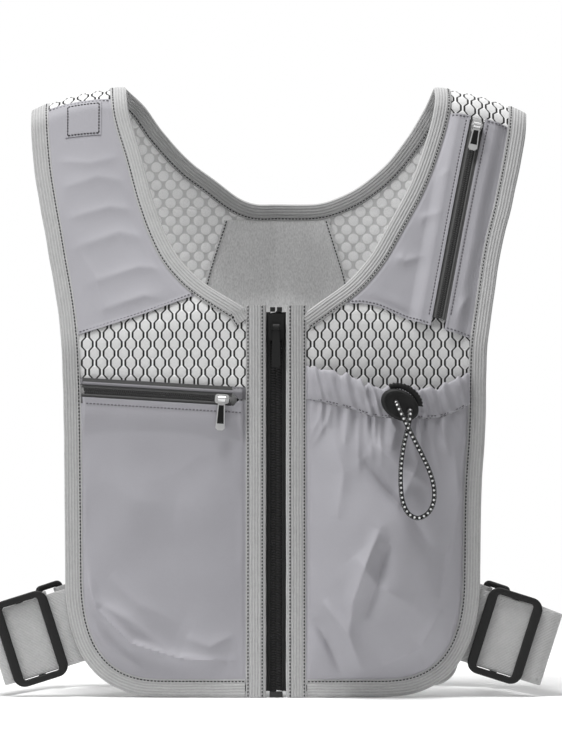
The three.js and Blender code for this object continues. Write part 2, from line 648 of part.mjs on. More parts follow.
// The short zip up the left shoulder strap.
const shoulderZipFoot = { x: 108.5, z: 252 };
const shoulderZipHead = { x: 135.5, z: 386 };
function shoulderZipper() {
  const foot = onCloth(1, shoulderZipFoot.x, shoulderZipFoot.z, raisedTape);
  const head = onCloth(1, shoulderZipHead.x, shoulderZipHead.z, raisedTape);
  const group = zipGroup(foot, head, clothNormal(120, 320));
  const length = foot.distanceTo(head);
  zipRows(group, shoulderZip, length, ['shoulder_zip_inner', 'shoulder_zip_outer']);
  zipSlider(group, shoulderZip, length - shoulderZip.slider / 2, 'shoulder_zip', {
    finish: 'silver', pullFinish: 'silver', pullLength: shoulderZip.pullLength, pullWidth: 4.6, hang: 'down' });
}

// ---- nylon skins -------------------------------------------------------------------------------------
const raised = raisedTape + tapeThickness / 2 + gap + skinThickness / 2; // over a raised tape

const besideBindings = (side) => {
  const edge = insetLine(frontEdge(side), 1, bindingWidth + gap);
  const neck = insetLine(frontNeck(side), -1, neckBindingWidth + 3 * gap);
  const outer = (along) => acrossAt(edge, along);
  const inner = (along) => {
    if (along < neck[0].y) return neckStart + gap;
    return Math.max(acrossAt(neck, along), neckStart + gap);
  };
  return { inner, outer };
};

// Rows from a seam line up to the shoulder seam.
function yokeRows(side, seam, from, to) {
  const rows = [0, 0.3, 0.6].map((part) => ({ from, to, along: (x) => lerp(seam(x), 300, part) }));
  for (const along of [300, 312, 325, 350]) rows.push({ from, to, along: flat(along) });
  return [...rows, ...shoulderRows(side, from, to)];
}

const rightYokeSeam = (x) => alongTo(smoothLine([[56, 267.5], [87, 256], [113, 247.5], [134, 241]])(x), x);
const leftYokeSeam = (x) => alongTo(smoothLine([[58, 262.5], [69, 260], [89, 251.5], [131, 239]])(x), x);

function rightYoke() {
  const { inner, outer } = besideBindings(right);
  add('right_yoke', panel(right, yokeRows(right, rightYokeSeam, inner, outer), 6, skinThickness, () => skinLift), 'nylon');

  const patch = { width: 24, height: 24, inner: 118 };
  const lift = skinLift + skinThickness / 2 + gap + 0.2;
  const rows = Array.from({ length: 6 }, (_, i) => ({
    from: () => patch.inner,
    to: () => patch.inner + patch.width,
    along: (x) => seamAt(right)(x) - 2 - patch.height * (1 - i / 5),
  }));
  add('right_yoke_patch', panel(right, rows, 3, 0.4, () => lift), 'nylon');
}

// The left yoke is split by its zip, and rises over the zip's tapes.
function leftYoke() {
  const { inner, outer } = besideBindings(left);
  const window = 6.2; // zip's middle to the cloth's edge
  const foot = alongTo(shoulderZipFoot.z, shoulderZipFoot.x);
  const head = alongTo(shoulderZipHead.z, shoulderZipHead.x);
  const zipAt = (along) => lerp(shoulderZipFoot.x, shoulderZipHead.x, (along - foot) / (head - foot));
  const lift = (x, along) => {
    const away = Math.abs(x - zipAt(along));
    return lerp(raised, skinLift, smoothstep(away, shoulderZip.tape + 4, shoulderZip.tape + 14));
  };
  const toZip = (along) => zipAt(along) - window;
  const fromZip = (along) => Math.min(zipAt(along) + window, outer(along) - 1);
  add('left_yoke_inner', panel(left, yokeRows(left, leftYokeSeam, inner, toZip), 7, skinThickness, lift), 'nylon');
  add('left_yoke_outer', panel(left, yokeRows(left, leftYokeSeam, fromZip, outer), 5, skinThickness, lift), 'nylon');
}

// The flat pocket on the right front: a facing over its zip, and the panel from the zip to the hem.
function rightPocket() {
  const { outer } = besideBindings(right);
  const inner = () => neckStart + gap;
  const chain = (x) => lerp(pocketZipInner.z, pocketZipOuter.z, (x - pocketZipInner.x) / (pocketZipOuter.x - pocketZipInner.x));
  const zipEdge = 4.2; // zip's middle to the cloth's edge
  const facing = [zipEdge, zipEdge + 3, zipEdge + 6].map((up) => ({
    from: inner, to: outer, along: (x) => chain(x) + up }));
  add('right_pocket_facing', panel(right, facing, 6, skinThickness, () => raised), 'nylon');

  const hem = bindingWidth + gap;
  const shares = [0, 0.03, 0.07, 0.12, 0.18, 0.26, 0.36, 0.5, 0.65, 0.8, 0.9, 0.95, 1];
  const rows = shares.map((part) => ({ from: inner, to: outer, along: (x) => lerp(hem, chain(x) - zipEdge, part) }));
  const fullness = 3;
  const lift = (x, along, u, v) => {
    const up = shares[Math.round(v * (shares.length - 1))];
    const swell = fullness * (Math.sin(Math.PI * u) * Math.max(Math.sin(Math.PI * up), 0)) ** 0.7;
    const top = smoothstep(along, chain(x) - 34, chain(x) - 12);
    return Math.max(lerp(skinLift, raised, top), skinLift + swell);
  };
  add('right_pocket_panel', panel(right, rows, 8, skinThickness, lift), 'nylon');
}

// ---- bellows pocket with its drawcord ----------------------------------------------------------------
const hemBottom = smoothLine([[21, 199], [49, 192.5], [65, 187.5], [105, 186.5], [118, 190], [130, 196]]);
const hemTop = smoothLine([[21, 221], [49, 214.5], [65, 207.5], [105, 206.5], [118, 212], [130, 217]]);
const hemInner = neckStart + gap;
const hemOuter = acrossAt(insetLine(frontEdge(left), 1, bindingWidth + gap), 205);
const hemShare = (x) => clamp((x - hemInner) / (hemOuter - hemInner), 0, 1);
const acrossSwell = (u) => Math.sin(Math.PI * u) ** 0.6;
const hemLift = (x) => meshThickness / 2 + gap + hemThickness / 2 + mouthDepth * acrossSwell(hemShare(x));

function bellowsPocket() {
  const { outer } = besideBindings(left);
  const inner = () => hemInner;
  const hem = bindingWidth + gap;
  const shares = [0, 0.03, 0.08, 0.15, 0.24, 0.34, 0.45, 0.56, 0.67, 0.78, 0.86, 0.93, 1];
  const rows = shares.map((part) => ({ from: inner, to: outer, along: (x) => lerp(hem, hemBottom(x) - 3 * gap, part) }));
  const thickness = hemWall;
  const lift = (x, along, u, v) => {
    const up = shares[Math.round(v * (shares.length - 1))];
    const rise = Math.sin(Math.min(up / 0.5, 1) * Math.PI / 2) ** 0.8;
    const full = pocketDepth * rise * acrossSwell(u) + meshThickness / 2 + gap + thickness / 2;
    return lerp(full, hemLift(x), smoothstep(up, 0.5, 1));
  };
  add('left_pocket_panel', panel(left, rows, 12, thickness, lift), 'nylon');
}

const lock = { x: 82, z: 195.2, width: 27, length: 19, depth: 13, tilt: THREE.MathUtils.degToRad(32) };
const holeSpread = 5.2; // from each cord hole to the middle between them
const holeShift = 2.4; // from the lock's middle to the middle between its holes
const lockMajor = new THREE.Vector3(Math.cos(lock.tilt), 0, -Math.sin(lock.tilt));
const lockAxis = new THREE.Vector3(Math.sin(lock.tilt), 0, Math.cos(lock.tilt));
const hemFace = cloth(lock.x, lock.z, hemLift(lock.x) + hemThickness / 2).y;
const lockBack = hemFace - 1;
const lockFront = lockBack - lock.depth;
const legAt = (sign) => new THREE.Vector3(lock.x, 0, lock.z)
  .addScaledVector(lockMajor, holeShift + sign * holeSpread);

// A hollow hem along the pocket's mouth, open at both ends, with a hole for each leg of the cord.
function pocketHem() {
  const stations = 18;
  const tubeOf = (inset, overshoot) => bandSolid(Array.from({ length: stations + 1 }, (_, i) => {
    const x = lerp(hemInner - overshoot, hemOuter + overshoot, i / stations);
    const at = clamp(x, hemInner, hemOuter);
    const ends = [hemBottom(at) + inset, hemTop(at) - inset];
    const half = hemThickness / 2 - inset;
    const sheet = (sign) => ends.map((along) => {
      const point = cloth(at, along, hemLift(at) + sign * half);
      point.x += x - at;
      return point;
    });
    return { outer: sheet(1), inner: sheet(-1) };
  }));
  const hole = (sign) => {
    const leg = legAt(sign);
    return new THREE.CylinderGeometry(2.9, 2.9, 7, 12).translate(leg.x - sign * 0.4, hemFace + 0.5, leg.z);
  };
  add('pocket_hem', cut(tubeOf(0, 0), tubeOf(hemWall, 3), hole(-1), hole(1)), 'nylon');
}

// Each half of the drawcord inside the hem: from the hem's end, out of its hole and through the lock.
function hemCord(sign, name) {
  const leg = legAt(sign);
  const bend = 3.4;
  const end = sign < 0 ? hemInner + 3 : hemOuter - 3;
  const middleY = (x) => cloth(x, 200, hemLift(x)).y;
  const level = (x) => lerp(leg.z, (hemBottom(x) + hemTop(x)) / 2, smoothstep(Math.abs(x - leg.x), 6, 30));
  const reach = [1, 0.8, 0.6, 0.4, 0.22, 0.1].map((part) => {
    const x = lerp(leg.x + sign * bend, end, part);
    return new THREE.Vector3(x, middleY(x), level(x));
  });
  const depth = middleY(leg.x + sign * bend);
  const turn = [0, 0.33, 0.67, 1].map((part) => {
    const angle = part * Math.PI / 2;
    return new THREE.Vector3(leg.x + sign * bend * (1 - Math.sin(angle)), depth - bend * (1 - Math.cos(angle)), leg.z);
  });
  const out = [(depth - bend + lockFront) / 2, lockFront].map((y) => new THREE.Vector3(leg.x, y, leg.z));
  add(name, tube([...reach, ...turn, ...out], 34), 'cord');
}

// The loop that hangs from the lock: out of one hole, round, and back into the other.
const loopPoints = [
  [79.6, -85.7, 196.7], [79.6, -88.2, 196.7], [79.6, -91, 196.6], [80.1, -94.4, 195.2], [81.4, -96.8, 192.2],
  [83.6, -97.8, 187.6], [86.6, -97.6, 181.4], [91, -95.8, 172.6], [96.2, -93, 162.6], [101.2, -89.8, 151.8],
  [104.3, -87.2, 141], [104.2, -85.6, 131.2], [100.6, -84.8, 123.8], [94, -84.6, 120.4], [87.6, -84.8, 123.4],
  [83.8, -85.4, 131.4], [82.4, -86.8, 143], [82.6, -89, 155.4], [84, -91.4, 167], [86, -93.4, 176.4],
  [87.6, -94, 182.8], [88.4, -92.6, 187.8], [88.4, -90.2, 190.6], [88.4, -87.8, 191.2], [88.4, -85.7, 191.2],
];

function drawcordLoop() {
  const points = loopPoints.map((point) => new THREE.Vector3(...point));
  const [first, last] = [legAt(-1), legAt(1)];
  points[0].set(first.x, lockFront - gap, first.z);
  points.at(-1).set(last.x, lockFront - gap, last.z);
  return add('drawcord_loop', tube(points, 44), 'cord');
}

// The cord lock's own frame: x along its major axis, y along its plunger, z towards the front.
function cordLock() {
  const group = new THREE.Group();
  const front = new THREE.Vector3(0, -1, 0);
  group.matrix.makeBasis(lockMajor, lockAxis, front);
  group.matrix.setPosition(lock.x, (lockBack + lockFront) / 2, lock.z);
  group.matrix.decompose(group.position, group.quaternion, group.scale);
  vest.add(group);

  const half = lock.length / 2;
  const stem = { width: 17, thickness: 7, foot: -2.9, stroke: 3, springRadius: 1.9 };
  const springHole = stem.springRadius + 0.5;
  const springTop = stem.foot + 6;
  const boreFoot = stem.foot - stem.stroke - gap;
  const shell = new THREE.ExtrudeGeometry(roundedRectangle(lock.width, lock.length, half - 1), {
    depth: lock.depth - 3, bevelEnabled: true, bevelThickness: 1.5, bevelSize: 1.5, bevelOffset: -1.5,
    bevelSegments: 2, curveSegments: 4 }).translate(0, 0, -lock.depth / 2 + 1.5);
  const legHole = (sign, stretch) => {
    const radius = cordDiameter / 2 + gap + 0.1;
    const slot = roundedRectangle(2 * radius, 2 * radius + stretch, radius - 0.01);
    return plate(slot, -lock.depth, lock.depth).translate(holeShift + sign * holeSpread, stretch / 2, 0);
  };
  const bore = plate(roundedRectangle(stem.width + 2 * gap, 2 * lock.length, 1), -stem.thickness / 2 - gap,
    stem.thickness / 2 + gap, 1).translate(holeShift, boreFoot + lock.length, 0);
  add('cord_lock_body', cut(shell, bore, legHole(-1, 0), legHole(1, 0)), 'plastic', group);

  const [low, high] = [stem.foot, half + 5];
  const stemPlate = block([-stem.width / 2, low, -stem.thickness / 2], [stem.width / 2, high, stem.thickness / 2])
    .translate(holeShift, 0, 0);
  const springPocket = new THREE.CylinderGeometry(springHole, springHole, springTop - low + 1, 12)
    .translate(holeShift, (springTop + low - 1) / 2, 0);
  const cap = plate(roundedRectangle(20, 4, 1.8), -4.8, 4.8).translate(holeShift / 2, high, 0);
  add('cord_lock_plunger', cut(join(stemPlate, cap), springPocket, legHole(-1, stem.stroke), legHole(1, stem.stroke)),
    'plastic', group);

  const turns = 5;
  const [start, end] = [boreFoot + 0.6, springTop - 0.6];
  class Helix extends THREE.Curve {
    getPoint(t, target = new THREE.Vector3()) {
      const angle = t * turns * 2 * Math.PI;
      const [x, z] = [Math.cos(angle), Math.sin(angle)].map((part) => part * stem.springRadius);
      return target.set(holeShift + x, lerp(start, end, t), z);
    }
  }
  const wire = new THREE.Shape();
  wire.absarc(0, 0, 0.28, 0, 2 * Math.PI);
  const spring = new THREE.ExtrudeGeometry(wire, {
    extrudePath: new Helix(), steps: turns * 9, curveSegments: 2.5, bevelEnabled: false });
  add('cord_lock_spring', spring, 'silver', group);
}

// ---- side straps -------------------------------------------------------------------------------------
// A strap's own frame: x away from the vest, y backwards, z across the webbing.
function arc(centre, radius, from, to, steps) {
  return Array.from({ length: steps + 1 }, (_, i) => {
    const angle = lerp(from, to, i / steps);
    return P(centre.x + radius * Math.cos(angle), centre.y + radius * Math.sin(angle));
  });
}

function rectangularRing(outerLength, outerWidth, bar, endBar, low, high) {
  const shape = roundedRectangle(outerLength, outerWidth, 3);
  shape.holes.push(roundedRectangle(outerLength - 2 * endBar, outerWidth - 2 * bar, 1));
  return plate(shape, low, high);
}

function sideStrap(side, buckleAt) {
  const edgeX = acrossAt(frontEdge(side), strapHeight);
  const group = new THREE.Group();
  const outward = new THREE.Vector3(side.sign * Math.cos(strapTilt), 0, -Math.sin(strapTilt));
  const back = new THREE.Vector3(0, 1, 0);
  group.matrix.makeBasis(outward, back, outward.clone().cross(back));
  group.matrix.setPosition(side.sign * edgeX, 0, strapHeight);
  group.matrix.decompose(group.position, group.quaternion, group.scale);
  vest.add(group);

  const behind = meshThickness / 2 + bindingGrip + bindingWall + gap + webbingThickness / 2;
  const frontY = -depthAt(edgeX) + behind;
  const backY = depthAt(backHalfWidth) - behind;
  const wrap = Math.hypot(ringBar / 2, ringBar / 2) + gap + webbingThickness / 2;
  const tabBar = P(5, backY - wrap);
  const ringTurn = -0.45;
  const pitch = ringLength - ringBar;
  const strapBar = P(tabBar.x + pitch * Math.cos(ringTurn), tabBar.y + pitch * Math.sin(ringTurn));

  const foldFoot = P(strapReach - 8, frontY + 20);
  const run = strapBar.clone().sub(foldFoot);
  const heading = Math.atan2(run.y, run.x);
  const outside = P(Math.cos(heading - Math.PI / 2), Math.sin(heading - Math.PI / 2)).multiplyScalar(wrap);
  const fold = new THREE.Path();
  fold.moveTo(strapReach - 7, frontY);
  const foldEnd = foldFoot.clone().add(outside);
  fold.bezierCurveTo(strapReach + 2, frontY, strapReach + 5, frontY + 7, foldEnd.x, foldEnd.y);
  const tail = P(Math.cos(heading), Math.sin(heading));
  const tailStart = strapBar.clone().sub(outside);
  const strapLine = [
    P(-12, frontY),
    ...fold.getPoints(10),
    ...arc(strapBar, wrap, heading - Math.PI / 2, heading + Math.PI / 2, 9),
    tailStart.clone().addScaledVector(tail, -6).addScaledVector(outside, 0.3),
    tailStart.clone().addScaledVector(tail, -18).addScaledVector(outside, 0.8),
  ];
  add(`${side.name}_strap`, ribbon(strapLine, webbingThickness, webbingWidth), 'webbing', group);

  const tabLine = [
    P(-24, backY),
    P(-8, backY),
    ...arc(tabBar, wrap, Math.PI / 2, -Math.PI / 2, 9),
    P(tabBar.x - 7, backY - 2 * wrap + 1.2),
    P(tabBar.x - 20, backY - 2 * wrap + 3),
  ];
  add(`${side.name}_ring_tab`, ribbon(tabLine, webbingThickness, webbingWidth), 'webbing', group);

  const across = webbingWidth + 2 * gap;
  const ring = rectangularRing(ringLength, across + 2 * ringBar, ringBar, ringBar, -ringBar / 2, ringBar / 2);
  ring.rotateX(Math.PI / 2).rotateZ(ringTurn);
  ring.translate((tabBar.x + strapBar.x) / 2, (tabBar.y + strapBar.y) / 2, 0);
  add(`${side.name}_rear_ring`, ring, 'plastic', group);

  // The buckle's end bars lie in front of the webbing and its middle bar behind it.
  const face = webbingThickness / 2 + gap;
  const outer = across + 2 * 3.6;
  const frame = rectangularRing(buckleLength, outer, 3.6, buckleBar, face, face + buckleThickness);
  const cheek = (sign) => block([-3, sign > 0 ? across / 2 : -outer / 2, -face - 2], [3, sign > 0 ? outer / 2 : -across / 2, face + 1]);
  const middleBar = block([-3, -outer / 2, -face - 2.4], [3, outer / 2, -face]);
  const buckle = join(frame, cheek(1), cheek(-1), middleBar).rotateX(Math.PI / 2);
  buckle.translate(buckleAt, frontY, 0);
  add(`${side.name}_strap_buckle`, buckle, 'plastic', group);
}

// ---- the vest ----------------------------------------------------------------------------------------
for (const side of sides) {
  frontMesh(side);
  frontBindings(side);
  backBinding(side);
  backMesh(side);
}
neckBinding();
backCentre();
mainZipper();
pocketZipper();
shoulderZipper();
rightYoke();
leftYoke();
rightPocket();
bellowsPocket();
pocketHem();
hemCord(-1, 'hem_cord_inner');
hemCord(1, 'hem_cord_outer');
const loop = drawcordLoop();
cordLock();
sideStrap(right, 28);
sideStrap(left, 21);

// The origin is under the middle of the vest's own box, with the loop of cord left out of it.
vest.updateMatrixWorld(true);
loop.removeFromParent();
const box = new THREE.Box3().setFromObject(vest, true);
vest.add(loop);
const middle = box.getCenter(new THREE.Vector3());
vest.position.set(-middle.x, -middle.y, -box.min.z);

export default vest;
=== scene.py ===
"""The looks of a zip-front vest of mesh and nylon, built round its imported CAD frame.

Shapes are worked out in millimetres on the cloth surface: x across from the centre line, along from the
front hem over the shoulder's crest to the back hem, and lift outwards from the middle of the mesh."""
import bpy
import numpy as np
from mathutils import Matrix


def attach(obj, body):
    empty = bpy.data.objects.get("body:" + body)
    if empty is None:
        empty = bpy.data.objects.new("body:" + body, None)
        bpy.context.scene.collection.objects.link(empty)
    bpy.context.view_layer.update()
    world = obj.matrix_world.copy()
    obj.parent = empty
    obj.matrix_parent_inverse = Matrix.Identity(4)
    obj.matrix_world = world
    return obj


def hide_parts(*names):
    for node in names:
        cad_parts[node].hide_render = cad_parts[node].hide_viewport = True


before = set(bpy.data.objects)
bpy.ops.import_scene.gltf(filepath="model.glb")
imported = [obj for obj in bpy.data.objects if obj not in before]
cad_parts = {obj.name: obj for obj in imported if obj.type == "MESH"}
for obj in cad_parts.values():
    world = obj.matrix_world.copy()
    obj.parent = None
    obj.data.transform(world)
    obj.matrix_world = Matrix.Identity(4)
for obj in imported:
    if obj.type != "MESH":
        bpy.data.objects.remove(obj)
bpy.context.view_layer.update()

MM = 0.001
ORIGIN = np.array([2.24988, 11.73695, 0.0])  # the cloth's own origin in the frame, in mm

# ---- camera ------------------------------------------------------------------------------------------
camera = bpy.data.objects.new("camera", bpy.data.cameras.new("camera"))
bpy.context.scene.collection.objects.link(camera)
camera.location = (0.00555, -3.0483, 0.215)
camera.rotation_euler = (np.pi / 2, 0, 0)
camera.data.sensor_width = 36
camera.data.lens = 215.9
camera.data.sensor_fit = "AUTO"
camera.data.clip_end = 50
bpy.context.scene.camera = camera

# ---- the cloth surface -------------------------------------------------------------------------------
HEIGHT = 409
HALF_DEPTH = 60
HALF_WIDTH = 141
BACK_HALF_WIDTH = 126
SHOULDER_WIDTH = 64
SHOULDER_OUT = 25
SHOULDER_FALL = 16
CREST_RADIUS = 21
SIDE_TURN = 0.045
FOLD_HEIGHT = 270
FOLD_FALL = 0.25
FOLD_RADIUS = 60
NECK_DROP = 76
GAP = 0.3
MESH = 1.2
SKIN = 0.5
BINDING = 12
CENTRE_BINDING = 13.5
NECK_BINDING = 11
CORNER_WIDTH = 69
CORNER_HEIGHT = 86
CORNER_POWER = 2.6
BACK_CORNER = 18
CENTRE_EDGE = 6.6
NECK_START = CENTRE_EDGE + CENTRE_BINDING + 2 * GAP
SHOULDER_INNER = HALF_WIDTH + SHOULDER_OUT - SHOULDER_WIDTH
EVEN_BELOW = 300
SKIN_LIFT = MESH / 2 + GAP + SKIN / 2
RAISED_TAPE = 3.5
ZIP_TAPE = 0.5
BINDING_FACE = MESH / 2 + 0.4 + 1  # the mesh, the room round it in a binding, and the binding's wall
TUCKED_LIFT = 0.9  # of a skin that has run in under a binding
CREST_ROWS = 372  # up to here, rows of a front cloth lie level; beyond, they turn into the shoulder seam
FRONT_ROWS = 402  # number of the front's last row, which lies on the seam
BACK_ROWS = 390  # number of the back's first row, which lies on the seam
ROUNDS = 12  # of the fixed-point loops, which settle well before it


def lerp(a, b, t):
    return a + (b - a) * t


def smoothstep(value, low, high):
    """Zero below low, one above high, and 3t^2 - 2t^3 between them."""
    t = np.clip((value - low) / (high - low), 0, 1)
    return t * t * (3 - 2 * t)


def fold_at(x):
    return FOLD_HEIGHT - FOLD_FALL * np.abs(x)


def depth_at(x):
    return HALF_DEPTH - SIDE_TURN * np.abs(x)


def lean_angle():
    """The lean of the chest at the neck, where it runs straight from the fold to the crest's circle."""
    across = depth_at(SHOULDER_INNER)
    rise = HEIGHT - fold_at(SHOULDER_INNER) - CREST_RADIUS
    return np.arccos(CREST_RADIUS / np.hypot(across, rise)) - np.arctan2(rise, across)


LEAN = lean_angle()


def stretches(x):
    """Crest radius and centre, and the lengths along the cloth at which the fold and the crest lie."""
    out = np.maximum(0, np.abs(x) - SHOULDER_INNER) / SHOULDER_WIDTH
    top = HEIGHT - SHOULDER_FALL * out ** 2
    radius = (depth_at(x) * np.cos(LEAN) - (top - fold_at(x)) * np.sin(LEAN)) / (1 - np.sin(LEAN))
    centre = top - radius
    fold_start = fold_at(x) - FOLD_RADIUS * np.tan(LEAN / 2)
    fold_end = fold_start + FOLD_RADIUS * LEAN
    fold_top = fold_start + FOLD_RADIUS * np.sin(LEAN)
    crest_start = fold_end + (centre + radius * np.sin(LEAN) - fold_top) / np.cos(LEAN)
    half = crest_start + radius * (np.pi / 2 - LEAN)
    return radius, centre, fold_start, fold_end, fold_top, crest_start, half


HALF = float(stretches(SHOULDER_INNER)[-1])  # length from a hem to the crest
FULL = 2 * HALF


def share(along):
    return smoothstep(along, EVEN_BELOW, HALF)


def wall(x, along):
    """Front half of the cloth: straight up, round the chest's fold, straight again and over the crest."""
    radius, centre, fold_start, fold_end, fold_top, crest_start, half = stretches(x)
    s = along + share(along) * (half - HALF)
    turn = np.clip((s - fold_start) / FOLD_RADIUS, 0, LEAN)
    y = -depth_at(x) + FOLD_RADIUS * (1 - np.cos(turn))
    z = np.where(s <= fold_start, s, fold_start + FOLD_RADIUS * np.sin(turn))
    straight = np.maximum(s - fold_end, 0)
    y = y + straight * np.sin(LEAN)
    z = np.where(s > fold_end, fold_top + straight * np.cos(LEAN), z)
    angle = LEAN + (s - crest_start) / radius
    over = s > crest_start
    y = np.where(over, -radius * np.cos(angle), y)
    z = np.where(over, centre + radius * np.sin(angle), z)
    return np.stack([np.broadcast_to(x, y.shape), y, z], -1)


def middle_of_cloth(x, along):
    x, along = np.broadcast_arrays(np.asarray(x, float), np.asarray(along, float))
    behind = along > HALF
    point = wall(x, np.where(behind, FULL - along, along))
    point[..., 1] = np.where(behind, -point[..., 1], point[..., 1])
    return point


def unit(vectors):
    return vectors / np.maximum(np.linalg.norm(vectors, axis=-1, keepdims=True), 1e-9)


def run_lengths(points):
    """How far along a line each of its points is."""
    return np.r_[0, np.cumsum(np.linalg.norm(np.diff(points, axis=0), axis=1))]


def turn_angles(count):
    return np.linspace(0, 2 * np.pi, count + 1)[:-1]


def squared_off(angle, across_power, up_power):
    """Cosine and sine of the angles, each raised to a power with its sign kept."""
    c, s = np.cos(angle), np.sin(angle)
    return np.sign(c) * np.abs(c) ** across_power, np.sign(s) * np.abs(s) ** up_power


def cloth_normal(x, along):
    """Cross product of the surface's two slopes, taken over a twentieth of a millimetre each way."""
    step = 0.05
    across = middle_of_cloth(x + step, along) - middle_of_cloth(x - step, along)
    up = middle_of_cloth(x, along + step) - middle_of_cloth(x, along - step)
    return unit(np.cross(across, up))


def cloth(x, along, lift=0.0):
    lift = np.asarray(lift, float)
    return middle_of_cloth(x, along) + cloth_normal(x, along) * lift[..., None]


def along_to(z, x):
    """Length along the front wall at which the cloth at x reaches the height z."""
    radius, centre, fold_start, fold_end, fold_top, crest_start, half = stretches(x)
    s = z + 0.0 * x
    bent = fold_start + FOLD_RADIUS * np.arcsin(np.clip((z - fold_start) / FOLD_RADIUS, -1, 1))
    s = np.where(z > fold_start, bent, s)
    s = np.where(z > fold_top, fold_end + (z - fold_top) / np.cos(LEAN), s)
    round_top = crest_start + radius * (np.arcsin(np.clip((z - centre) / radius, -1, 1)) - LEAN)
    s = np.where(s > crest_start, round_top, s)
    along = s
    for _ in range(ROUNDS):
        along = s - share(along) * (half - HALF)
    return along


# ---- outlines ----------------------------------------------------------------------------------------
def smooth_line(pairs):
    """A cubic through [where, value] pairs, its slope at a pair being that between the pair's neighbours."""
    where, value = np.array(pairs, float).T
    low = np.maximum(np.arange(len(where)) - 1, 0)
    high = np.minimum(np.arange(len(where)) + 1, len(where) - 1)
    slope = (value[high] - value[low]) / (where[high] - where[low])

    def line(at):
        at = np.asarray(at, float)
        i = np.clip(np.searchsorted(where, at, side="right") - 1, 0, len(where) - 2)
        width = where[i + 1] - where[i]
        t = np.clip((at - where[i]) / width, 0, 1)
        a, b, m, n = value[i], value[i + 1], slope[i] * width, slope[i + 1] * width
        return a + m * t + (3 * (b - a) - 2 * m - n) * t ** 2 + (m + n - 2 * (b - a)) * t ** 3

    return line


FOLD_LEVEL = fold_at(HALF_WIDTH)
OUTLINE_STEP = 1.5


def at_level(level):
    """Level 0 is the hem, 1 the fold of the chest and 2 the crest."""
    return np.where(level < 1, level * FOLD_LEVEL, lerp(FOLD_LEVEL, HALF, level - 1))


RIGHT = {
    "name": "right", "sign": -1, "shift": 0, "seam_drop": (19, 12),
    "side": [[0.36, 0], [0.79, 1], [1, 2.5], [1.15, 5.8], [1.32, 11.5], [1.63, 21], [1.85, 24.5],
             [2, 25]],
    "neck": [[1.13, 0], [1.22, 0.33], [1.285, 0.49], [1.36, 0.61], [1.51, 0.75], [1.69, 0.865],
             [1.85, 0.97], [2, 1]],
    "back": [[0, 1], [0.14, 1], [0.26, 0.94], [0.43, 0.77], [0.58, 0.62], [0.76, 0.36], [0.88, 0.14],
             [1, 0]],
}
LEFT = {
    "name": "left", "sign": 1, "shift": 5, "seam_drop": (28, 26),
    "side": [[0.35, -4.5], [0.59, -3.6], [0.77, -1], [0.98, 0], [1.15, 4.4], [1.34, 10], [1.53, 18],
             [1.83, 27], [2, 29]],
    "neck": [[1.12, 0], [1.225, 0.31], [1.315, 0.48], [1.425, 0.62], [1.58, 0.8], [1.73, 0.92],
             [1.88, 1], [2, 1]],
    "back": [[0, 1], [0.24, 1], [0.37, 0.96], [0.53, 0.85], [0.69, 0.67], [0.82, 0.45], [0.94, 0.18],
             [1, 0]],
}
SIDES = (RIGHT, LEFT)


def crest_inner(side):
    return SHOULDER_INNER + side["shift"]


def crest_outer(side):
    return SHOULDER_INNER + SHOULDER_WIDTH + side["side"][-1][1] - SHOULDER_OUT


def resample(points, step):
    """The same line with its points a step apart along it."""
    lengths = run_lengths(points)
    count = max(int(round(lengths[-1] / step)), 1) + 1
    at = np.linspace(0, lengths[-1], count)
    return np.stack([np.interp(at, lengths, column) for column in points.T], 1)


def front_edge(side):
    """Along the hem, round a corner that is a quarter of a superellipse, and up the side to the crest."""
    bottom = HALF_WIDTH + side["side"][0][1]
    angle = np.linspace(0, np.pi / 2, 90)
    corner = np.stack([bottom - CORNER_WIDTH * (1 - np.sin(angle) ** (2 / CORNER_POWER)),
                       CORNER_HEIGHT * (1 - np.cos(angle) ** (2 / CORNER_POWER))], 1)
    level = np.linspace(CORNER_HEIGHT / FOLD_LEVEL + 0.01, 2, 260)
    rise = np.stack([HALF_WIDTH + smooth_line(side["side"])(level), at_level(level)], 1)
    return resample(np.vstack([[[NECK_START, 0]], corner, rise]), OUTLINE_STEP)


def front_neck(side):
    level = np.linspace(1.12, 2, 240)
    x = lerp(NECK_START, crest_inner(side), smooth_line(side["neck"])(level))
    return resample(np.stack([x, at_level(level)], 1), OUTLINE_STEP)


def back_neck(side):
    part = np.cos(np.linspace(0, np.pi / 2, 240))
    x = part * crest_inner(side)
    height = HEIGHT - NECK_DROP * smooth_line(side["back"])(part)
    return resample(np.stack([x, FULL - along_to(height, x)], 1), OUTLINE_STEP)


def back_edge(side):
    line = smooth_line([[0, 0], [0.8, 0], [1, 0.04], [1.2, 0.15], [1.45, 0.38], [1.7, 0.66], [1.9, 0.93],
                        [2, 1]])
    level = np.linspace(1.999, 0.3, 240)
    down = np.stack([lerp(BACK_HALF_WIDTH, crest_outer(side), line(level)), FULL - at_level(level)], 1)
    angle = np.linspace(0, np.pi / 2, 24)
    corner = np.stack([BACK_HALF_WIDTH - BACK_CORNER * (1 - np.cos(angle)),
                       FULL - BACK_CORNER * (1 - np.sin(angle))], 1)
    return resample(np.vstack([down, corner, [[GAP / 2, FULL]]]), OUTLINE_STEP)


def inwards(points, turn):
    """Unit directions into the cloth: a quarter turn from the line's, to its left when turn is 1."""
    along = unit(np.gradient(points, axis=0))
    return np.stack([-along[:, 1] * turn, along[:, 0] * turn], 1)


def inset(points, turn, distance):
    return points + inwards(points, turn) * distance


def across_at(points):
    """x of a line as a function of the length along the cloth."""
    along = np.maximum.accumulate(points[:, 1]) + 1e-6 * np.arange(len(points))
    return lambda at: np.interp(at, along, points[:, 0])


def seam_at(side):
    def seam(x):
        return HALF - lerp(*side["seam_drop"], np.clip((x - crest_inner(side)) / SHOULDER_WIDTH, 0, 1))
    return seam


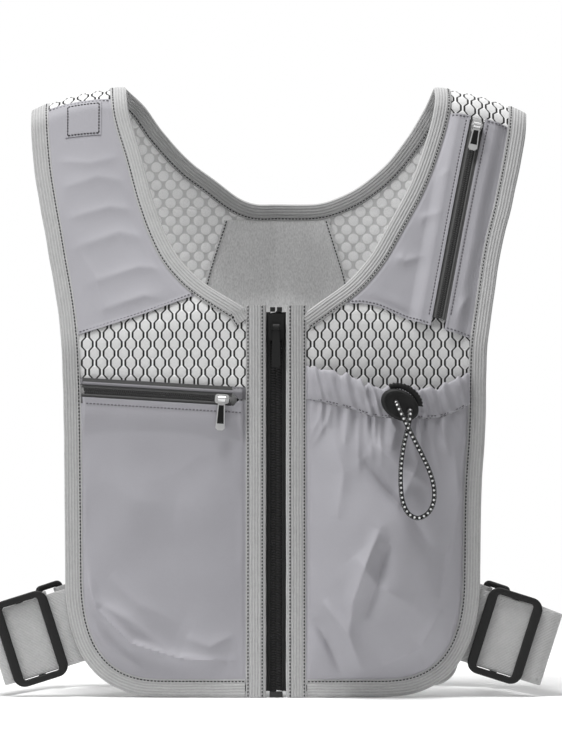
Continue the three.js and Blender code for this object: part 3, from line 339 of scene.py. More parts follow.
# ---- patterns of relief ------------------------------------------------------------------------------
CELL_WIDTH = 9.7
CELL_HEIGHT = 12.4


def noise(x, y, scale, seed):
    """Smooth noise: a sum of six sine waves of random directions and phases, about -1 to 1."""
    waves = np.random.default_rng(seed)
    total = 0
    for _ in range(6):
        angle = waves.uniform(0, 2 * np.pi)
        phase = waves.uniform(0, 2 * np.pi)
        size = waves.uniform(0.7, 1.5)
        total = total + np.sin((x * np.cos(angle) + y * np.sin(angle)) * size * 2 * np.pi / scale + phase)
    return total / 6


def cells(x, along):
    """Distance from the middle of the nearest cell of the mesh, in two staggered lattices."""
    def lattice(u, v):
        u = u - CELL_WIDTH * np.round(u / CELL_WIDTH)
        v = v - CELL_HEIGHT * np.round(v / CELL_HEIGHT)
        return np.hypot(u, v)
    return np.minimum(lattice(x, along), lattice(x - CELL_WIDTH / 2, along - CELL_HEIGHT / 2))


def ridge(x, y, line, width, height):
    """A fold: height * exp(-(d / width)^1.3) at a distance d from a line, fading at both its ends."""
    line = np.array(line, float)
    lengths = run_lengths(line)
    best = np.full(np.shape(x), 1e9)
    where = np.zeros(np.shape(x))
    for (ax, ay), (bx, by), start in zip(line[:-1], line[1:], lengths):
        dx, dy = bx - ax, by - ay
        t = np.clip(((x - ax) * dx + (y - ay) * dy) / (dx * dx + dy * dy), 0, 1)
        distance = np.hypot(x - ax - t * dx, y - ay - t * dy)
        nearer = distance < best
        best = np.where(nearer, distance, best)
        where = np.where(nearer, start + t * np.hypot(dx, dy), where)
    part = where / lengths[-1]
    fade = np.sin(np.pi * np.clip(part, 0.02, 0.98)) ** 0.6
    return height * np.exp(-(best / width) ** 1.3) * fade


# ---- meshes ------------------------------------------------------------------------------------------
def grid_faces(rows, columns, start=0):
    """Quads of a grid of rows by columns points."""
    at = start + np.arange(rows * columns).reshape(rows, columns)
    return np.stack([at[:-1, :-1], at[:-1, 1:], at[1:, 1:], at[1:, :-1]], -1).reshape(-1, 4)


def volume_of(points, faces):
    a, b, c, d = (points[faces[:, k]] for k in range(4))
    return (np.einsum("ij,ij->i", a, np.cross(b, c)) + np.einsum("ij,ij->i", a, np.cross(c, d))).sum()


def outwards(points, faces):
    """A closed body with its faces turned outwards."""
    return points, faces if volume_of(points - points.mean(0), faces) > 0 else faces[:, ::-1]


def ring_walls(at):
    """Quads between neighbouring rings of points, which are numbered in the rows of at."""
    turn = np.roll(at, -1, axis=1)
    return np.stack([at[:-1], turn[:-1], turn[1:], at[1:]], -1).reshape(-1, 4)


def tube(rings, ends):
    """A closed body through rings of points, with a fan of faces round one more point at either end."""
    count, sides = rings.shape[:2]
    at = np.arange(count * sides).reshape(count, sides)
    turn = np.roll(at, -1, axis=1)
    start, end = np.full(sides, count * sides), np.full(sides, count * sides + 1)
    first = np.stack([at[0], start, start, turn[0]], 1)
    last = np.stack([at[-1], turn[-1], end, end], 1)
    points = np.concatenate([rings.reshape(-1, 3), ends])
    return outwards(points, np.concatenate([ring_walls(at), first, last]))


def thin_solid(outer, inner):
    """A closed body between two grids of points: both sheets, and a wall round their four edges."""
    rows, columns = outer.shape[:2]
    count = rows * columns
    points = np.concatenate([outer.reshape(-1, 3), inner.reshape(-1, 3)])
    at = np.arange(count).reshape(rows, columns)
    rim = np.concatenate([at[0, :], at[1:, -1], at[-1, -2::-1], at[-2::-1, 0]])
    walls = np.stack([rim[1:], rim[:-1], rim[:-1] + count, rim[1:] + count], 1)
    faces = np.concatenate([grid_faces(rows, columns), grid_faces(rows, columns, count)[:, ::-1], walls])
    return outwards(points, faces)


def sweep(path, across, out, section):
    """A closed section of (across, out) pairs carried along a path, with both ends capped."""
    rings = path[:, None] + section[None, :, :1] * across[:, None] + section[None, :, 1:] * out[:, None]
    return tube(rings, path[[0, -1]])


def merge(bodies):
    """Several (points, faces) bodies as one."""
    starts = np.cumsum([0] + [len(points) for points, _ in bodies])
    return (np.concatenate([points for points, _ in bodies]),
            np.concatenate([faces + start for (_, faces), start in zip(bodies, starts)]))


def copies(shape, places, across, along, out):
    """One small shape set down at many places, each with its own three directions."""
    points, faces = shape
    turned = (points[None, :, :1] * across[:, None] + points[None, :, 1:2] * along[:, None]
              + points[None, :, 2:] * out[:, None]) + places[:, None]
    many = faces[None] + (np.arange(len(places)) * len(points))[:, None, None]
    return turned.reshape(-1, 3), many.reshape(-1, 4)


def put(name, body, material, replaces=(), place=None, rides="vest", sharp=40):
    """Makes the Blender object of a body in mm, on its material, ties it to the body it rides on, and hides
    the CAD parts it stands for.
    """
    points, faces = body
    loops = [tuple(dict.fromkeys(face)) for face in faces.tolist()]
    mesh = bpy.data.meshes.new(name)
    mesh.from_pydata((points + ORIGIN) * MM, [], loops)
    if place is not None:
        attribute = mesh.attributes.new("place", "FLOAT_VECTOR", "POINT")
        attribute.data.foreach_set("vector", np.asarray(place, np.float32).reshape(-1))
    mesh.shade_smooth()
    mesh.set_sharp_from_angle(angle=np.radians(sharp))
    mesh.materials.append(material)
    mesh.update()
    obj = bpy.data.objects.new(name, mesh)
    bpy.context.scene.collection.objects.link(obj)
    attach(obj, rides)
    if replaces:
        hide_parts(*replaces)
    return obj


# ---- shader maths ------------------------------------------------------------------------------------
class Value:
    """A socket that adds Math nodes when it is used in an expression."""

    def __init__(self, tree, socket):
        self.tree, self.socket = tree, socket

    def math(self, operation, *others):
        node = self.tree.nodes.new("ShaderNodeMath")
        node.operation = operation
        for socket, value in zip(node.inputs, (self, *others)):
            if isinstance(value, Value):
                self.tree.links.new(value.socket, socket)
            else:
                socket.default_value = float(value)
        return Value(self.tree, node.outputs[0])

    def constant(self, number):
        node = self.tree.nodes.new("ShaderNodeValue")
        node.outputs[0].default_value = float(number)
        return Value(self.tree, node.outputs[0])

    def __add__(self, other):
        return self.math("ADD", other)

    def __radd__(self, other):
        return self.math("ADD", other)

    def __sub__(self, other):
        return self.math("SUBTRACT", other)

    def __rsub__(self, other):
        return self.constant(other).math("SUBTRACT", self)

    def __mul__(self, other):
        return self.math("MULTIPLY", other)

    def __rmul__(self, other):
        return self.math("MULTIPLY", other)

    def __truediv__(self, other):
        return self.math("DIVIDE", other)

    def __abs__(self):
        return self.math("ABSOLUTE")

    def sin(self):
        return self.math("SINE")

    def cos(self):
        return self.math("COSINE")

    def round(self):
        return self.math("ROUND")

    def lesser(self, other):
        return self.math("MINIMUM", other)

    def greater(self, other):
        return self.math("MAXIMUM", other)

    def hypot(self, other):
        return (self * self + other * other).math("SQRT")

    def limited(self):
        return self.math("MAXIMUM", 0.0).math("MINIMUM", 1.0)

    def step(self, low, high):
        """Zero below low and one above high; falls instead when low is the greater."""
        return ((self - low) / (high - low)).limited()


class Shader:
    """One material and the nodes it is made of."""

    def __init__(self, name):
        self.material = bpy.data.materials.new(name)
        self.material.use_nodes = True
        self.tree = self.material.node_tree
        self.surface = self.tree.nodes["Principled BSDF"]

    def node(self, kind, settings=(), sockets=(), output=0):
        """Adds a node: its settings first, then the values or links of its sockets."""
        node = self.tree.nodes.new(kind)
        for key, value in dict(settings).items():
            setattr(node, key, value)
        for key, value in dict(sockets).items():
            self.feed(node.inputs[key], value)
        return node.outputs[output]

    def feed(self, socket, value):
        if isinstance(value, Value):
            self.tree.links.new(value.socket, socket)
        elif isinstance(value, bpy.types.NodeSocket):
            self.tree.links.new(value, socket)
        else:
            socket.default_value = value

    def axes(self, source, scale=1.0):
        """The three parts of a vector as values, multiplied by scale."""
        split = self.tree.nodes.new("ShaderNodeSeparateXYZ")
        self.tree.links.new(source, split.inputs[0])
        return [Value(self.tree, output) * scale for output in split.outputs]

    def place(self):
        return self.axes(self.node("ShaderNodeAttribute", {"attribute_name": "place"}, output=1))

    def object_mm(self):
        return self.axes(self.object_position(), 1000.0)

    def object_position(self):
        return self.node("ShaderNodeTexCoord", output=3)

    def noise(self, scale, detail=2.0, vector=None):
        vector = vector or self.object_position()
        return Value(self.tree, self.node("ShaderNodeTexNoise", {}, {
            "Vector": vector, "Scale": scale, "Detail": detail}))

    def mix(self, factor, first, second):
        node = self.tree.nodes.new("ShaderNodeMix")
        node.data_type = "RGBA"
        for index, value in ((0, factor), (6, first), (7, second)):
            self.feed(node.inputs[index], value)
        return node.outputs[2]

    def finish(self, colour, roughness, height=None, distance=0.0002, strength=1.0, **constants):
        self.feed(self.surface.inputs["Base Color"], colour)
        self.feed(self.surface.inputs["Roughness"], roughness)
        for key, value in constants.items():
            self.surface.inputs[key.replace("_", " ").title().replace("Ior", "IOR")].default_value = value
        if height is not None:
            bump = self.node("ShaderNodeBump", {}, {
                "Strength": strength, "Distance": distance, "Height": height})
            self.feed(self.surface.inputs["Normal"], bump)
        return self.material


def grey(level, tint=(1, 1, 1)):
    """A display grey, 0 to 255, as linear colour."""
    linear = ((level / 255 + 0.055) / 1.055) ** 2.4
    return (linear * tint[0], linear * tint[1], linear * tint[2], 1)


LAVENDER = (0.995, 0.98, 1.055)


def nylon_material(name, level):
    """Fine plain weave over soft, broad shading, with a slight sheen."""
    s = Shader(name)
    x, along, _ = s.place()
    pitch = 0.42
    weave = (x * (2 * np.pi / pitch)).sin() * (along * (2 * np.pi / pitch)).sin()
    broad = s.noise(14.0, 3.0)
    fine = s.noise(900.0, 2.0)
    shade = broad.step(0.35, 0.65) * 0.6 + fine * 0.4
    colour = s.mix(shade, grey(level - 5, LAVENDER), grey(level + 5, LAVENDER))
    return s.finish(colour, fine * 0.12 + 0.5, weave * 0.5 + fine, 0.00004, 0.7, sheen_weight=0.12,
                    sheen_roughness=0.4, specular_ior_level=0.32)


def mesh_material():
    """Cells of a spacer mesh: grey discs and dark wavy lines outside, pale discs on grey inside."""
    s = Shader("hex mesh")
    x, along, inside = s.place()
    u = x - (x * (1 / CELL_WIDTH)).round() * CELL_WIDTH
    v = along - (along * (1 / CELL_HEIGHT)).round() * CELL_HEIGHT
    x2, along2 = x - CELL_WIDTH / 2, along - CELL_HEIGHT / 2
    u2 = x2 - (x2 * (1 / CELL_WIDTH)).round() * CELL_WIDTH
    v2 = along2 - (along2 * (1 / CELL_HEIGHT)).round() * CELL_HEIGHT
    disc = u.hypot(v).lesser(u2.hypot(v2))
    swing = ((along * (2 * np.pi / CELL_HEIGHT)).cos() * 1.6).greater(-1.0).lesser(1.0)
    line = abs(abs(u) - (swing * 1.225 + 2.425))
    dark = line.step(0.8, 0.55) * (1 - inside)
    thread = ((x * (2 * np.pi / 0.7)).sin() * (along * (2 * np.pi / 0.7)).sin())
    speck = s.noise(1500.0, 1.0)
    outside = s.mix(disc.step(3.7, 3.2), grey(236), grey(212))
    within = s.mix(disc.step(3.8, 3.3), grey(212), grey(250))
    ground = s.mix(inside, outside, within)
    ground = s.mix(speck.step(0.45, 0.6) * 0.12, ground, grey(150))
    colour = s.mix(dark, ground, grey(20))
    height = disc.step(4.2, 3.0) * 0.6 + thread * 0.12 + dark * 0.35
    return s.finish(colour, 0.85, height, 0.0003, 0.8, sheen_weight=0.1)


def ribbed_material(name, level, ribs, cross, contrast=12):
    """Elastic tape: ribs along it, and finer threads across them. Place is length, depth, face."""
    s = Shader(name)
    length, depth, _ = s.place()
    rib = (depth * (2 * np.pi / ribs)).sin() * 0.5 + 0.5
    thread = (length * (2 * np.pi / cross)).sin() * 0.5 + 0.5
    speck = s.noise(700.0, 3.0)
    cloud = s.noise(160.0, 2.0)
    mottle = rib * 0.45 + thread * 0.15 + speck * 0.5 + cloud * 0.3 - 0.2
    colour = s.mix(mottle, grey(level - contrast), grey(level + contrast))
    return s.finish(colour, 0.88, rib + thread * 0.3 + speck * 0.6, 0.0003, 0.9, sheen_weight=0.15)


def heather_material():
    """Short pale and dark fibres mixed at random, mostly along the height."""
    s = Shader("heather lining")
    vector = s.node("ShaderNodeMapping", {}, {
        "Vector": s.object_position(), "Scale": (1.0, 1.0, 0.35)})
    fibre = s.noise(1300.0, 3.0, vector)
    cloud = s.noise(60.0, 3.0)
    colour = s.mix((fibre * 0.8 + cloud * 0.2).step(0.3, 0.7), grey(192), grey(230))
    return s.finish(colour, 0.92, fibre, 0.0002, 0.7, sheen_weight=0.2)


def tape_material(name, level):
    """Woven zip tape: fine herringbone ribs. Place is distance across, length."""
    s = Shader(name)
    across, length, _ = s.place()
    rib = ((length + abs(across) * 0.9) * (2 * np.pi / 1.1)).sin() * 0.5 + 0.5
    speck = s.noise(900.0, 2.0)
    colour = s.mix(rib * 0.6 + speck * 0.4, grey(level - 10), grey(level + 16))
    return s.finish(colour, 0.85, rib + speck, 0.00012, 0.8)


def plain_material(name, level, roughness, tint=(1, 1, 1), metallic=0.0, spread=4):
    """One colour with a fine moulded or cast grain, and roughness that varies with it."""
    s = Shader(name)
    speck = s.noise(400.0, 3.0)
    broad = s.noise(45.0, 2.0)
    colour = s.mix(speck * 0.6 + broad * 0.4, grey(level - spread, tint), grey(level + spread, tint))
    uneven = broad * 0.12 + speck * 0.08 + (roughness - 0.1)
    return s.finish(colour, uneven, speck, 0.00003, 0.6, metallic=metallic,
                    specular_ior_level=0.5 if metallic else 0.28)


def cord_material():
    """Black braid with pale flecks in two staggered rows. Place is length, angle in turns."""
    s = Shader("flecked cord")
    length, angle, _ = s.place()
    pitch = 3.3

    def flecks(shift, turn):
        """Distance from the nearest of a row of flecks along the cord."""
        at = (length + shift) * (1 / pitch)
        near = (at - at.round()) * pitch
        round_by = angle - turn
        side = (round_by - round_by.round()) * 9.0
        return near.hypot(side)

    first = flecks(0.0, 0.1).lesser(flecks(pitch / 2, 0.43)).lesser(flecks(0.0, 0.76))
    fleck = first.step(0.85, 0.6)
    braid = ((length * (2 * np.pi / 1.2) + angle * (2 * np.pi * 4)).sin()
             * (length * (2 * np.pi / 1.2) - angle * (2 * np.pi * 4)).sin())
    colour = s.mix(fleck, grey(24), grey(235))
    return s.finish(colour, 0.8, braid * 0.6 + fleck, 0.0003, 0.8)


NYLON = nylon_material("grey nylon", 158)
NYLON_DARKER = nylon_material("dark grey nylon", 108)
HEX = mesh_material()
TAPE_EDGE = ribbed_material("edge binding", 168, 1.9, 0.8, 19)
WEBBING = ribbed_material("elastic webbing", 176, 1.0, 0.9, 18)
HEATHER = heather_material()
TAPE_BLACK = tape_material("black zip tape", 24)
TAPE_GREY = tape_material("grey zip tape", 74)
TEETH_BLACK = plain_material("black zip teeth", 30, 0.6)
TEETH_GREY = plain_material("dark grey zip teeth", 56, 0.8)
PLASTIC = plain_material("black plastic", 26, 0.58)
SILVER = plain_material("silver metal", 228, 0.3, metallic=0.75, spread=6)
INSERT = plain_material("black enamel", 22, 0.3)
CORD = cord_material()
GUNMETAL = plain_material("dark metal", 62, 0.4, metallic=0.8)
THREAD = plain_material("dark thread", 34, 0.7)
THREAD_GREY = plain_material("grey thread", 96, 0.7, (1.0, 0.97, 1.06))


# ---- cloth pieces ------------------------------------------------------------------------------------
EDGE_TUCK = 2.5
MESH_COLUMNS = 78
MESH_GROUND = MESH - 0.3  # the mesh between its cells, which swell on both faces
UNDER = 1.0  # how far a skin runs on under the binding beside it


def panel_grid(low, high, along_of, v, columns):
    """x and along of a grid whose row v runs from low(along) to high(along)."""
    def solve(limit):
        x = np.full_like(v, 100.0)
        for _ in range(ROUNDS):
            x = limit(along_of(x, v))
        return x[:, None]
    x = lerp(solve(low), solve(high), np.linspace(0, 1, columns + 1)[None])
    return x, along_of(x, v[:, None])


def flat_area(x, along):
    """Area of a grid's quads in the flat pattern: half the cross product of each one's two diagonals."""
    ax, ay = x[1:, 1:] - x[:-1, :-1], along[1:, 1:] - along[:-1, :-1]
    bx, by = x[1:, :-1] - x[:-1, 1:], along[1:, :-1] - along[:-1, 1:]
    return float(np.abs(ax * by - ay * bx).sum() / 2)


def layer(name, side, grid, lift, thickness, material, replaces, relief=0.0,
          fullness=1.0):
    """A sheet of cloth of one thickness, its middle at lift over the mesh, with relief on both faces."""
    x, along = side["sign"] * grid[0], grid[1]
    outer = cloth(x, along, lift + thickness / 2 + relief)
    inner = cloth(x, along, lift - thickness / 2 - relief)
    face = np.stack([x, along, np.zeros_like(x)], -1).reshape(-1, 3)
    place = np.concatenate([face, face + (0, 0, 1)])
    sheet = put(name, thin_solid(outer, inner), material, replaces, place)
    flat = (float(np.ptp(x)) * fullness * MM, float(np.ptp(along)) * MM)
    area = min(flat_area(x, along) * fullness * MM ** 2, flat[0] * flat[1])


def dome(x, along):
    return 0.22 * smoothstep(cells(x, along), 4.3, 1.8)


def spaced(low, high, step):
    return np.linspace(low, high, int(np.ceil((high - low) / step)) + 1)


def over_crest(seam, start, end):
    """Along as a function of x and row number: level rows, which turn into the seam from start to end."""
    def along_of(x, v):
        part = np.clip((v - start) / (end - start), 0, 1)
        return np.where(v < start, v, lerp(start, seam(x) - GAP, part))
    return along_of


def front_mesh(side):
    edge = across_at(inset(front_edge(side), 1, EDGE_TUCK))
    line = inset(front_neck(side), -1, EDGE_TUCK)
    neck, foot = across_at(line), line[0, 1]
    centre = CENTRE_EDGE + EDGE_TUCK

    def low(along):
        return np.where(along < foot, centre, np.maximum(neck(along), centre))

    v = np.r_[EDGE_TUCK + np.array([0.02, 0.1, 0.3, 0.7, 1.3, 2.2]), spaced(EDGE_TUCK + 3.2, foot - 0.1, 1.7),
              spaced(foot + 0.1, FRONT_ROWS, 1.5)]
    grid = panel_grid(low, edge, over_crest(seam_at(side), CREST_ROWS, FRONT_ROWS), v, MESH_COLUMNS)
    name = f"{side['name']}_front_mesh"
    layer(f"{name}_cloth", side, grid, 0, MESH_GROUND, HEX, [name], dome(*grid))


def back_mesh(side):
    line = inset(back_neck(side), -1, EDGE_TUCK)
    edge_line = inset(back_edge(side), 1, EDGE_TUCK)
    neck, edge = across_at(line), across_at(edge_line)
    front = across_at(inset(front_edge(side), 1, EDGE_TUCK))
    seam, start, end = seam_at(side), BACK_ROWS, FULL - CREST_ROWS

    def low(along):
        inner = np.where(along < line[0, 1], crest_inner(side) + EDGE_TUCK, np.maximum(neck(along), GAP / 2))
        return np.where(along > line[-1, 1] - 0.01, GAP / 2, inner)

    def high(along):
        return np.where(along < edge_line[0, 1], front(np.minimum(along, HALF)), edge(along))

    def along_of(x, v):
        return np.where(v < end, lerp(seam(x), end, np.clip((v - start) / (end - start), 0, 1)), v)

    last = FULL - EDGE_TUCK
    v = np.r_[spaced(start, end, 1.6), spaced(end + 1.5, last - 14, 1.7),
              last - np.array([12, 10, 8, 6, 4, 2.5, 1.2, 0.4, 0.02])]
    grid = panel_grid(low, high, along_of, v, MESH_COLUMNS)
    name = f"{side['name']}_back_mesh"
    layer(f"{name}_cloth", side, grid, 0, MESH_GROUND, HEX, [name], dome(*grid))


# ---- bindings and stitches ---------------------------------------------------------------------------
STITCH_PITCH = 2.35
STITCHES = []
GREY_STITCHES = []


def capsule(length, width, height, sides=5):
    """A short rod along y with rounded ends: circles whose size follows half an ellipse."""
    t = np.array([-1, -0.82, 0.82, 1])
    size = np.array([0.35, 1, 1, 0.35])
    angle = turn_angles(sides)
    ring = np.stack([np.cos(angle) * width / 2, np.zeros(sides), np.sin(angle) * height / 2], -1)
    rings = ring[None] * size[:, None, None] + np.array([0, 1, 0]) * (t * length / 2)[:, None, None]
    return tube(rings, np.array([[0, -length / 2, 0], [0, length / 2, 0]]))


STITCH = capsule(1.5, 0.85, 0.7)


def stitch(x, along, lift, pitch=STITCH_PITCH, into=STITCHES):
    """A row of stitches on the cloth, a pitch apart, along a line of signed x, along and lift."""
    line = cloth(x, along, lift)
    lengths = run_lengths(line)
    count = max(int(lengths[-1] / pitch), 1)
    at = (np.arange(count) + 0.5) * lengths[-1] / count

    def between(column, ahead=0.0):
        return np.interp(at + ahead, lengths, np.broadcast_to(column, len(line)))

    def points_at(ahead):
        return np.stack([between(column, ahead) for column in line.T], 1)

    place = points_at(0.0)
    forward = unit(points_at(0.3) - points_at(-0.3))
    face = np.sign(np.mean(lift)) or 1
    out = cloth_normal(between(x), between(along)) * face
    across = unit(np.cross(forward, out))
    into.append(copies(STITCH, place, across, forward, np.cross(across, forward)))


def binding_profile(width, inner):
    """Depth and lift of a folded tape: walls joined by half an ellipse, drawn in at the stitches."""
    wall_lift = 1.0 if inner else 1.72
    nose = 1.0 if inner else 0.0
    depth = np.r_[width, width - 0.35, width - 1.6, width - 2.8, width * 0.55, 4.2, 2.6]
    drawn = np.r_[-0.42, -0.2, -0.3, 0.0, 0.08, 0.08, 0.04] if not inner else np.zeros(7)
    angle = np.linspace(0, np.pi / 2, 6)
    depth = np.r_[depth, nose + 1.6 * (1 - np.sin(angle))]
    lift = np.r_[wall_lift + drawn, wall_lift * np.cos(angle)]
    return np.r_[depth, depth[-2::-1]], np.r_[lift, -lift[-2::-1]]


def binding(name, points, inward, width, replaces, stitches=(1.5,)):
    """A tape folded round an edge, given by signed x and along and its unit directions into the cloth."""
    line = cloth(points[:, 0], points[:, 1])
    length = run_lengths(line)

    def sheet(inner):
        depth, lift = binding_profile(width, inner)
        wave = 0.12 * np.sin(length * 2 * np.pi / 4.7)[:, None] * (depth > width - 3)[None]
        sway = 0.22 * noise(length, length * 0, 38, 11)[:, None] * (0 if inner else 1)
        at = points[:, None] + inward[:, None] * (depth[None] + sway)[..., None]
        return cloth(at[..., 0], at[..., 1], lift[None] * (1 - 0.07 * wave)), depth, lift

    outer, depth, lift = sheet(False)
    inner = sheet(True)[0]
    face = (lift < 0)[None] * 1.0
    place = np.stack(np.broadcast_arrays(length[:, None], depth[None], face), -1).reshape(-1, 3)
    tape = put(name, thin_solid(outer, inner), TAPE_EDGE, replaces, np.concatenate([place, place]))
    for from_inner in stitches:
        at = points + inward * (width - from_inner)
        lift = np.full(len(at), 1.5 if from_inner < 3 else 1.95)
        stitch(at[:, 0], at[:, 1], lift)
        stitch(at[:, 0], at[:, 1], -lift)


def signed(side, points, turn):
    flip = np.array([side["sign"], 1])
    return points * flip, inwards(points, turn) * flip


def bindings():
    for side in SIDES:
        name = side["name"]
        edge = np.vstack([front_edge(side), back_edge(side)[1:]])
        binding(f"{name}_side_binding_tape", *signed(side, edge, 1), BINDING,
                [f"{name}_front_binding", f"{name}_back_binding"])
        centre = np.stack([np.full(180, CENTRE_EDGE), np.linspace(0, FOLD_HEIGHT - 8.5, 180)], 1)
        binding(f"{name}_centre_binding_tape", *signed(side, centre, -1), CENTRE_BINDING,
                [f"{name}_centre_binding"], stitches=(1.4, CENTRE_BINDING - 2.6))
    halves = []
    for side in SIDES:
        front = front_neck(side)
        start = front[0] - unit(front[3] - front[0]) * np.array([[4.8], [3.2], [1.6]])
        points, inward = signed(side, np.vstack([start, front, back_neck(side)[1:]]), -1)
        halves.append((points, inward))
    (right, right_in), (left, left_in) = halves
    binding("neck_binding_tape", np.vstack([right, left[-2::-1]]), np.vstack([right_in, left_in[-2::-1]]),
            NECK_BINDING, ["neck_binding"])


# ---- nylon -------------------------------------------------------------------------------------------
def beside_bindings(side, reach=UNDER):
    edge = across_at(inset(front_edge(side), 1, BINDING + GAP - reach))
    line = inset(front_neck(side), -1, NECK_BINDING + 3 * GAP - reach)
    neck = across_at(line)
    start = NECK_START + GAP - reach

    def inner(along):
        return np.where(along < line[0, 1], start, np.maximum(neck(along), start))

    return inner, edge


def tucked(grid, side, lift):
    """The lift of a skin, brought down where it runs in under the bindings beside it."""
    inner, outer = beside_bindings(side, 0)
    x, along = grid
    room = np.minimum(x - inner(along), outer(along) - x)
    return lerp(TUCKED_LIFT, lift, smoothstep(room, -0.4, 1.6))


def yoke_grid(seam_line, low, high, side, columns):
    seam_top = seam_at(side)

    def along_of(x, v):
        lower = lerp(seam_line(x), EVEN_BELOW, np.clip(v, 0, 1))
        level = lerp(EVEN_BELOW, CREST_ROWS, v - 1)
        upper = lerp(CREST_ROWS, seam_top(x) - GAP, np.clip(v - 2, 0, 1))
        return np.where(v < 1, lower, np.where(v < 2, level, upper))

    v = np.r_[np.linspace(0, 1, 40), np.linspace(1, 2, 48)[1:], np.linspace(2, 3, 26)[1:]]
    return panel_grid(low, high, along_of, v, columns)


RIGHT_YOKE_FOLDS = [
    ([(64, 262), (88, 268), (118, 258)], 7, 1.3), ([(60, 285), (92, 288), (128, 276)], 6, 1.1),
    ([(75, 305), (105, 312), (140, 300)], 7, 1.2), ([(84, 326), (112, 330), (143, 322)], 6, 1.0),
    ([(92, 345), (120, 352), (148, 345)], 7, 0.9), ([(100, 366), (125, 362), (150, 368)], 6, 0.8),
    ([(112, 250), (120, 280), (133, 300)], 6, 0.8),
]
LEFT_YOKE_FOLDS = [
    ([(64, 268), (80, 262), (100, 250)], 5, 0.9), ([(72, 300), (86, 292), (100, 296)], 6, 0.9),
    ([(84, 330), (98, 322), (112, 326)], 6, 0.8), ([(95, 356), (106, 350), (118, 356)], 6, 0.7),
    ([(118, 252), (124, 262), (132, 270)], 5, 0.8), ([(134, 300), (140, 312), (146, 330)], 4, 0.6),
]


def folds_at(grid, folds):
    x, along = grid
    return sum(ridge(x, along, line, 0.72 * width, height) for line, width, height in folds)


def edge_fade(grid, side, reach=9):
    """Zero beside the bindings and one further in than reach."""
    inner, outer = beside_bindings(side, 0)
    x, along = grid
    return smoothstep(np.minimum(x - inner(along), outer(along) - x), 0, reach)


def right_seam(x):
    return along_to(smooth_line([[56, 267.5], [87, 256], [113, 247.5], [134, 241]])(x), x)


def left_seam(x):
    return along_to(smooth_line([[58, 262.5], [69, 260], [89, 251.5], [131, 239]])(x), x)


def stitched_line(side, x, along, lift):
    stitch(side["sign"] * x, along, np.broadcast_to(lift, x.shape), into=GREY_STITCHES)


def hem_curl(distance, reach=2.0):
    """How far a cloth stands up at its turned edge, where it is two layers thick."""
    return 0.28 * smoothstep(distance, reach + 0.7, reach - 0.3)


SEAM_STITCH = 1.6  # from a turned edge to its stitches
PATCH_INNER = 118
PATCH_SIZE = 24
PATCH_GAP = 2  # from the patch to the shoulder seam
PATCH_STITCH = 0.06  # of the patch's size, from its edge to its stitches


def right_yoke():
    inner, outer = beside_bindings(RIGHT)
    grid = yoke_grid(right_seam, inner, outer, RIGHT, 96)
    x, along = grid
    turned = hem_curl(along - right_seam(x)) + hem_curl(seam_at(RIGHT)(x) - along)
    beside = np.maximum(np.abs(x - PATCH_INNER - PATCH_SIZE / 2) - PATCH_SIZE / 2, 0)
    below = np.maximum(seam_at(RIGHT)(x) - PATCH_GAP - PATCH_SIZE - along, 0)
    from_patch = np.hypot(beside, below)
    calm = 0.15 + 0.85 * smoothstep(from_patch, 0, 14)
    folds = 0.9 * folds_at(grid, RIGHT_YOKE_FOLDS) * smoothstep(along - right_seam(x), 2, 14) * calm
    soft = 0.3 * noise(x, along, 34, 3) * calm
    lift = SKIN_LIFT + (folds + soft + 0.3) * edge_fade(grid, RIGHT) + turned
    layer("right_yoke_cloth", RIGHT, grid, tucked(grid, RIGHT, lift), SKIN, NYLON, ["right_yoke"])
    line = np.linspace(float(x[0, 0]) + 1, float(x[0, -1]) - 1, 120)
    stitched_line(RIGHT, line, right_seam(line) + SEAM_STITCH, SKIN_LIFT + 0.6)
    line = np.linspace(float(x[-1, 0]) + 1, float(x[-1, -1]) - 1, 90)
    stitched_line(RIGHT, line, seam_at(RIGHT)(line) - SEAM_STITCH, SKIN_LIFT + 0.6)
    right_patch()


def right_patch():
    """A square of the same cloth sewn on near the top, with a stitch line round it."""
    u, v = np.meshgrid(np.linspace(0, 1, 25), np.linspace(0, 1, 25))
    x = PATCH_INNER + PATCH_SIZE * u
    along = seam_at(RIGHT)(x) - PATCH_GAP - PATCH_SIZE * (1 - v)
    edge = np.minimum(np.minimum(u, 1 - u), np.minimum(v, 1 - v)) * PATCH_SIZE
    lift = SKIN_LIFT + 0.85 + 0.15 * smoothstep(edge, 0, 3)
    layer("right_yoke_patch_cloth", RIGHT, (x, along), lift, 0.3, NYLON, ["right_yoke_patch"])
    run = np.linspace(PATCH_STITCH, 1 - PATCH_STITCH, 30)
    near, far = np.full(30, PATCH_STITCH), np.full(30, 1 - PATCH_STITCH)
    for u, v in ((near, run), (far, run), (run, near), (run, far)):
        x = PATCH_INNER + PATCH_SIZE * u
        along = seam_at(RIGHT)(x) - PATCH_GAP - PATCH_SIZE * (1 - v)
        stitch(-x, along, np.full(30, SKIN_LIFT + 1.15), 2.0)


SHOULDER_FOOT = (108.5, 252.0)
SHOULDER_HEAD = (135.5, 386.0)
SHOULDER_TAPE = 7.5
WINDOW = 4.9  # half the opening over the shoulder zip
RAISED = RAISED_TAPE + ZIP_TAPE / 2 + GAP + SKIN / 2


